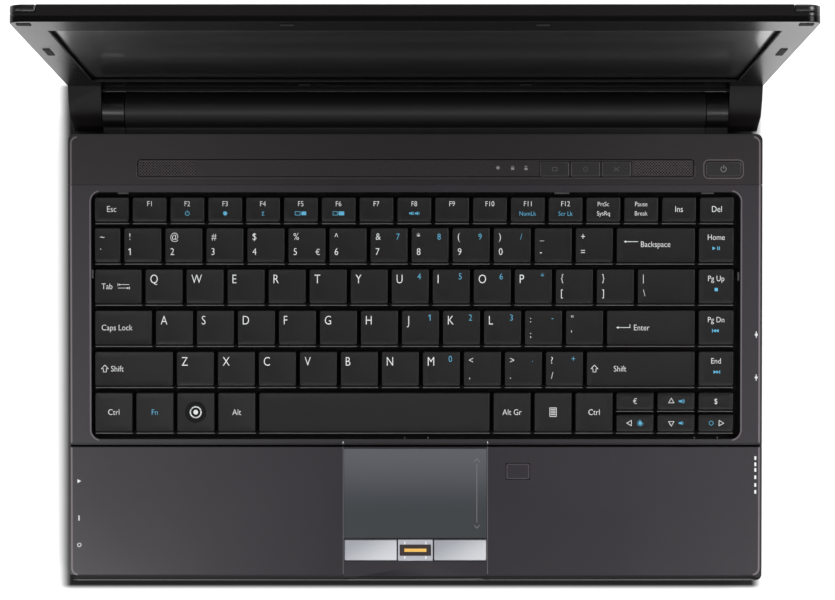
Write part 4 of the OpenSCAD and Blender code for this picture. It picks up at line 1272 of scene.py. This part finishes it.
# %% Seam and groove
SEAM_LINE = 0.36
GROOVE_LENGTH, GROOVE_WIDTH, GROOVE_SHIFT = 320.0, 0.9, -0.2
left, right, front, back, bend = STRIP_BOX
seam = Ink(STRIP_TOP)
for y in (back, front):
    seam.line(left + bend, y, right - bend, y, SEAM_LINE)
for x in (left, right):
    seam.line(x, front + bend, x, back - bend, SEAM_LINE)
for x, y, turn in ((left + bend, front + bend, 180), (left + bend, back - bend, 90),
                   (right - bend, front + bend, 270), (right - bend, back - bend, 0)):
    seam.ring(x, y, bend, SEAM_LINE, turn, 90, 6)
seam.print_on("strip_seam", "base", seam_black, "strip")
# Painted shade: a black strip laid in the groove in front of the keyboard.
groove_shade = Ink(0.0)
groove_shade.bar(0, sum(GROOVE) / 2 + GROOVE_SHIFT, GROOVE_LENGTH, GROOVE_WIDTH)
groove_shade.print_on("keyboard_groove", "base", seam_black, "deck")
print("seam", round(right - left, 1), "by", round(back - front, 1))

# %% [markdown]
# ## Signs behind the keyboard
# The status lamps and the buttons carry small dim signs, kept generic. The power button has the usual
# broken ring with a bar.

# %% Lamp and button signs
BUTTON_TOP = 0.2
LAUNCH_X, LAUNCH_STEP, LAUNCH_W = 57.8, 14.3, 13.6
POWER_X, SIGN_Y = 142.9, -16.3
DIAMOND_X, LOCK_X, BOX_X = 38.3, 45.1, 51.3
lamps = Ink(STRIP_TOP)
lamps.disc(DIAMOND_X, -15.7, 1.0, 4)
lamps.bar(LOCK_X, -16.1, 1.5, 1.1)
lamps.ring(LOCK_X, -15.4, 0.5, 0.25, 0, 180, 8)
lamps.bar(BOX_X, -16.2, 1.5, 1.1)
lamps.bar(BOX_X, -15.0, 1.1, 0.5)
lamps.print_on("status_lamps", "base", grey_ink, "strip")

for index in range(3):
    ink, x = Ink(BUTTON_TOP), LAUNCH_X + LAUNCH_STEP * index + LAUNCH_W / 2
    if index == 0:
        ink.box(x, SIGN_Y, 2.2, 1.6, 0.2)
    elif index == 1:
        ink.ring(x, SIGN_Y, 1.0, 0.2)
    else:
        for side in (-1, 1):
            ink.line(x - 1.1, SIGN_Y + 0.9 * side, x + 1.1, SIGN_Y - 0.9 * side, 0.2)
    node = f"launch_button_{index + 1}"
    ink.print_on(node + "_sign", body_of(node), dim_ink, "button")

power = Ink(BUTTON_TOP)
power_sign(power, POWER_X, SIGN_Y, 1.25, 0.28, 1.0, 1.5)
power.print_on("power_sign", body_of("power_button"), grey_ink, "button")
print("button signs", 4)

# %% [markdown]
# ## Marks at the deck's edges
# The ports are marked by a white triangle, bar and ring on the left, and by dots and bars on the
# right. Two fine grey lines, each with a white pin at its back end, run down the sides of the touchpad:
# they are painted highlights on the edges of its side grooves.
# Small tabs stand round the edge of the keyboard's well.

# %% Deck marks
LEFT_MARKS_Y = (-161.2, -178.4, -190.9)
RIGHT_DOTS_Y = (-93.1, -113.0)
RIGHT_BARS_Y = (-150.5, -153.4, -156.0, -159.4, -163.0, -166.2)
SIDE_LINE_X, LINE_BACK, LINE_FRONT = 33.55, -144.0, -204.5
TABS = [(-135.6, -27.4, 5, 0.9), (68, -27.4, 7, 0.9), (135.6, -27.4, 6, 0.9), (-149.9, -65, 0.9, 4),
        (150.0, -66, 0.9, 4), (-5.0, -141.1, 0.6, 1.0), (5.9, -141.1, 0.6, 1.0), (129.7, -141.1, 0.6, 1.0),
        (140.4, -141.1, 0.6, 1.0)]
port_marks = Ink(0.0)
network_y, vent_y, audio_y = LEFT_MARKS_Y
port_marks.disc(-156.5, network_y, 1.1, 3)
port_marks.bar(-156.4, vent_y, 0.5, 2.4)
port_marks.ring(-156.3, audio_y, 0.8, 0.4)
for y in RIGHT_DOTS_Y:
    port_marks.disc(158.3, y, 0.7)
    port_marks.bar(158.3, y, 0.35, 3.0)
for y in RIGHT_BARS_Y:
    port_marks.bar(158.0, y, 0.9, 1.7)
port_marks.print_on("port_marks", "base", white_ink, "deck")

# Painted highlights: thin grey lines on the edges of the grooves beside the touchpad.
side_highlights, pins = Ink(-0.2), Ink(-0.1)
for side in (-1, 1):
    side_highlights.bar(side * SIDE_LINE_X, (LINE_BACK + LINE_FRONT) / 2, 0.3, LINE_BACK - LINE_FRONT)
    pins.bar(side * SIDE_LINE_X, -143.2, 0.4, 0.8)
side_highlights.print_on("touchpad_side_lines", "base", groove_highlight_grey, "deck")
pins.print_on("touchpad_side_pins", "base", white_ink, "deck")

tabs = bmesh.new()
for x, y, width, depth in TABS:
    add_box(tabs, (x, y, -1.2), (width, depth, 0.8))
bevel(tabs, tabs.edges[:], 0.12)
add_piece(tabs, "keyboard_tabs", deck, "base", tab_grey)
print("keyboard tabs", len(TABS))

# %% [markdown]
# ## Touchpad line and fingerprint reader
# A fine line along the right of the touchpad marks its scrolling strip. The reader sits between the
# click buttons: a pale metal frame, four ticks, a dark window and a thin gold sensor bar.

# %% Touchpad and reader marks
PAD_TOP, READER_LIFT = -0.2, 0.05
SCROLL_X, SCROLL_Y, SCROLL_LENGTH = 28.6, -167, 27
scroll = Ink(PAD_TOP)
scroll.bar(SCROLL_X, SCROLL_Y, 0.25, SCROLL_LENGTH)
for y, up in ((-151.5, 1), (-182.5, -1)):
    scroll.line(SCROLL_X - 1.2, y - 0.7 * up, SCROLL_X, y + 0.7 * up, 0.25)
    scroll.line(SCROLL_X, y + 0.7 * up, SCROLL_X + 1.2, y - 0.7 * up, 0.25)
scroll.print_on("touchpad_scroll_line", "base", grey_ink, "touchpad")

reader_low, reader_high = loose_boxes("fingerprint_reader")[0]
x, y, reader_top = *((reader_low + reader_high) / 2).xy, reader_high.z
print("reader", [round(v, 2) for v in (*reader_low, *reader_high)])
window = bmesh.new()
add_box(window, (x, y, reader_top - 0.15), (14.6, 5.2, 0.4))
upright = [edge for edge in window.edges if abs(edge.verts[0].co.z - edge.verts[1].co.z) > 0.2]
bevel(window, upright, 0.3)
add_piece(window, "reader_window", deck, "base", reader_dark)
sensor, ticks = Ink(reader_top + READER_LIFT), Ink(reader_top + READER_LIFT)
sensor.bar(x, y, 10.2, 1.5)
sensor.print_on("reader_sensor", "base", gold, "reader")
for side_x in (-1, 1):
    for side_y in (-1, 1):
        ticks.bar(x + side_x * 4.9, y + side_y * 3.4, 0.5, 1.3)
ticks.print_on("reader_ticks", "base", white_ink, "reader")

# %% [markdown]
# ## The lid's inside face
# Two small microphone holes sit under the screen, and a thin dark gasket runs round the screen where
# the bezel meets it. Both are drawn on the lid board, which stands up, so each mark lies on its back.

# %% Gasket and microphone holes
SCREEN_X, SCREEN_LOW, SCREEN_HIGH = 148.0, 26.8, 193.3
FACE, GASKET, GASKET_DEPTH = 9.9, 0.7, 0.3
HOLES_X, HOLES_UP = (-4.0, 2.5), 21.0
gasket = bmesh.new()
middle, tall = (SCREEN_LOW + SCREEN_HIGH) / 2, SCREEN_HIGH - SCREEN_LOW
for up in (SCREEN_LOW, SCREEN_HIGH):
    add_box(gasket, (0, FACE + 0.2, up), (2 * SCREEN_X + GASKET, GASKET_DEPTH, GASKET))
for x in (-SCREEN_X, SCREEN_X):
    add_box(gasket, (x, FACE + 0.2, middle), (GASKET, GASKET_DEPTH, tall + GASKET))
add_piece(gasket, "screen_gasket", lid, "lid", gasket_black)
holes = bmesh.new()
upright_disc = Matrix.Rotation(math.radians(90), 4, "X")
for x in HOLES_X:
    bmesh.ops.create_cone(holes, cap_ends=True, segments=16, radius1=0.6, radius2=0.6, depth=0.12,
                          matrix=Matrix.Translation((x, FACE, HOLES_UP)) @ upright_disc)
add_piece(holes, "microphone_holes", lid, "lid", gasket_black)
print("screen", 2 * SCREEN_X, "by", round(tall, 1))

# %% [markdown]
# ## The table
# A pale plain table is how a catalogue shows a dark machine. It glows a little to the camera, so that
# it reads as white, and it keeps the machine's shadow. Under the base and for a few millimetres round
# it, least of all on the right, the glow stops and the paint goes dark: a painted shadow.

# %% Floor
FLOOR = 8.0
SHADOW_LEFT, SLIT_BACK = -0.002, 0.107
SIDE_FADE, FRONT_FADE, BACK_FADE = (0.0065, -0.001), (-0.0066, -0.0034), 0.002
DIRECT_GLOW, MIRRORED_GLOW = 0.5, 0.3


def grey(share):
    return (share, share, share, 1)


def painted_floor_shadow(made):
    """Painted shadow: 1 on the floor under the base, and 0 a few millimetres outside it, least of all on
    the right.
    """
    half, front = cad_box[1].x, cad_box[0].y
    aside, y = abs(made.along("X") - SHADOW_LEFT), made.along("Y")
    sides = made.fade(aside, half + SIDE_FADE[0], half + SIDE_FADE[1])
    ahead = made.fade(y, front + FRONT_FADE[0], front + FRONT_FADE[1])
    behind = made.fade(y, SLIT_BACK + BACK_FADE, SLIT_BACK)
    return sides * ahead * behind


def floor_finish():
    made = Finish("floor_white", Roughness=0.9, Specular_IOR_Level=0.1)
    white_floor = made.blend(made.noise(0.02, 2), grey(0.86), grey(0.88))
    # Painted shadow: dark paint and no glow under the base and just beside it.
    shadow_share = painted_floor_shadow(made)
    made.paint("Base Color", made.blend(shadow_share, white_floor, grey(0.02)))
    rays = made.tree.nodes.new("ShaderNodeLightPath")
    camera_ray = Wire(made, rays.outputs["Is Camera Ray"])
    glossy_ray = Wire(made, rays.outputs["Is Glossy Ray"])
    glow = made.tree.nodes.new("ShaderNodeEmission")
    strength = camera_ray * DIRECT_GLOW + glossy_ray * MIRRORED_GLOW
    made.feed(glow.inputs["Strength"], strength * (1 - shadow_share))
    both = made.tree.nodes.new("ShaderNodeAddShader")
    made.tree.links.new(made.shader.outputs[0], both.inputs[0])
    made.tree.links.new(glow.outputs[0], both.inputs[1])
    made.tree.links.new(both.outputs[0], made.tree.nodes["Material Output"].inputs["Surface"])
    return made.material


table = bmesh.new()
bmesh.ops.create_grid(table, x_segments=4, y_segments=4, size=FLOOR / 2)
mesh = bpy.data.meshes.new("floor")
table.to_mesh(mesh)
table.free()
mesh.materials.append(floor_finish())
floor = stand("floor", mesh)
print("floor", FLOOR, "metres wide")

# %% [markdown]
# ## The lamps
# Large lamps stand low at the sides and behind, so that the glossy deck doesn't mirror them towards
# the camera. Two small ones above the front corners make the pale sheen there. The world is white to
# the camera and gives only a little light of its own.

# %% Lamps and world
def lamp(name, place, aim, size, power):
    light = bpy.data.lights.new(name, "AREA")
    light.shape = "RECTANGLE"
    light.size, light.size_y = size
    light.energy = power
    holder = stand(name, light)
    holder.location = place
    holder.rotation_euler = (Vector(aim) - Vector(place)).to_track_quat("-Z", "Y").to_euler()


centre = (0, -0.02, 0.02)
lamp("key_left", (-1.9, -0.3, 1.7), centre, (1.0, 1.2), 10)
lamp("key_right", (1.8, 0.5, 1.8), centre, (1.0, 1.0), 34)
lamp("back", (0.3, 1.9, 1.7), centre, (1.6, 0.9), 20)
lamp("front", (0.0, -2.2, 1.6), centre, (2.4, 1.2), 6)
lamp("strip_left", (-0.86, -0.25, 2.1), (-0.2, -0.05, 0), (0.5, 1.5), 3)
lamp("strip_right", (0.88, -0.25, 2.1), (0.2, -0.05, 0), (0.5, 1.5), 3)
lamp("corner_left", (-0.58, -0.72, 2.1), (-0.12, -0.1, 0), (0.25, 0.2), 11.5)
lamp("corner_right", (0.64, -0.8, 2.1), (0.12, -0.1, 0), (0.25, 0.2), 10.0)

SKY_LIGHT, SKY_SEEN = 0.11, 1.0
world = bpy.data.worlds.new("studio")
bpy.context.scene.world = world
world.use_nodes = True
sky = world.node_tree
background = sky.nodes["Background"]
background.inputs["Color"].default_value = (1, 1, 1, 1)
paths = sky.nodes.new("ShaderNodeLightPath")
share = sky.nodes.new("ShaderNodeMapRange")
share.inputs["To Min"].default_value = SKY_LIGHT
share.inputs["To Max"].default_value = SKY_SEEN
sky.links.new(paths.outputs["Is Camera Ray"], share.inputs["Value"])
sky.links.new(share.outputs["Result"], background.inputs["Strength"])
print("lamps", len(bpy.data.lights))

# %% [markdown]
# ## The camera
# It looks straight down through a long lens, so that the deck is seen as on a plan and the upright
# lid shows only as the thin band of its screen side.

# %% Camera
CAMERA_PLACE = (0.001, 0.0068, 1.441)
LENS, SENSOR = 131.8, 36
camera = bpy.data.cameras.new("camera")
camera.lens = LENS
camera.sensor_width = SENSOR
view = stand("camera", camera)
view.location = CAMERA_PLACE
bpy.context.scene.camera = view
bpy.context.scene.view_settings.view_transform = "Standard"
print("camera", CAMERA_PLACE[2], "metres up, lens", LENS)

# %% [markdown]
# ## The last update
# The view layer is updated once more, so that every piece stands where it belongs.

# %% Update the view layer
bpy.context.view_layer.update()
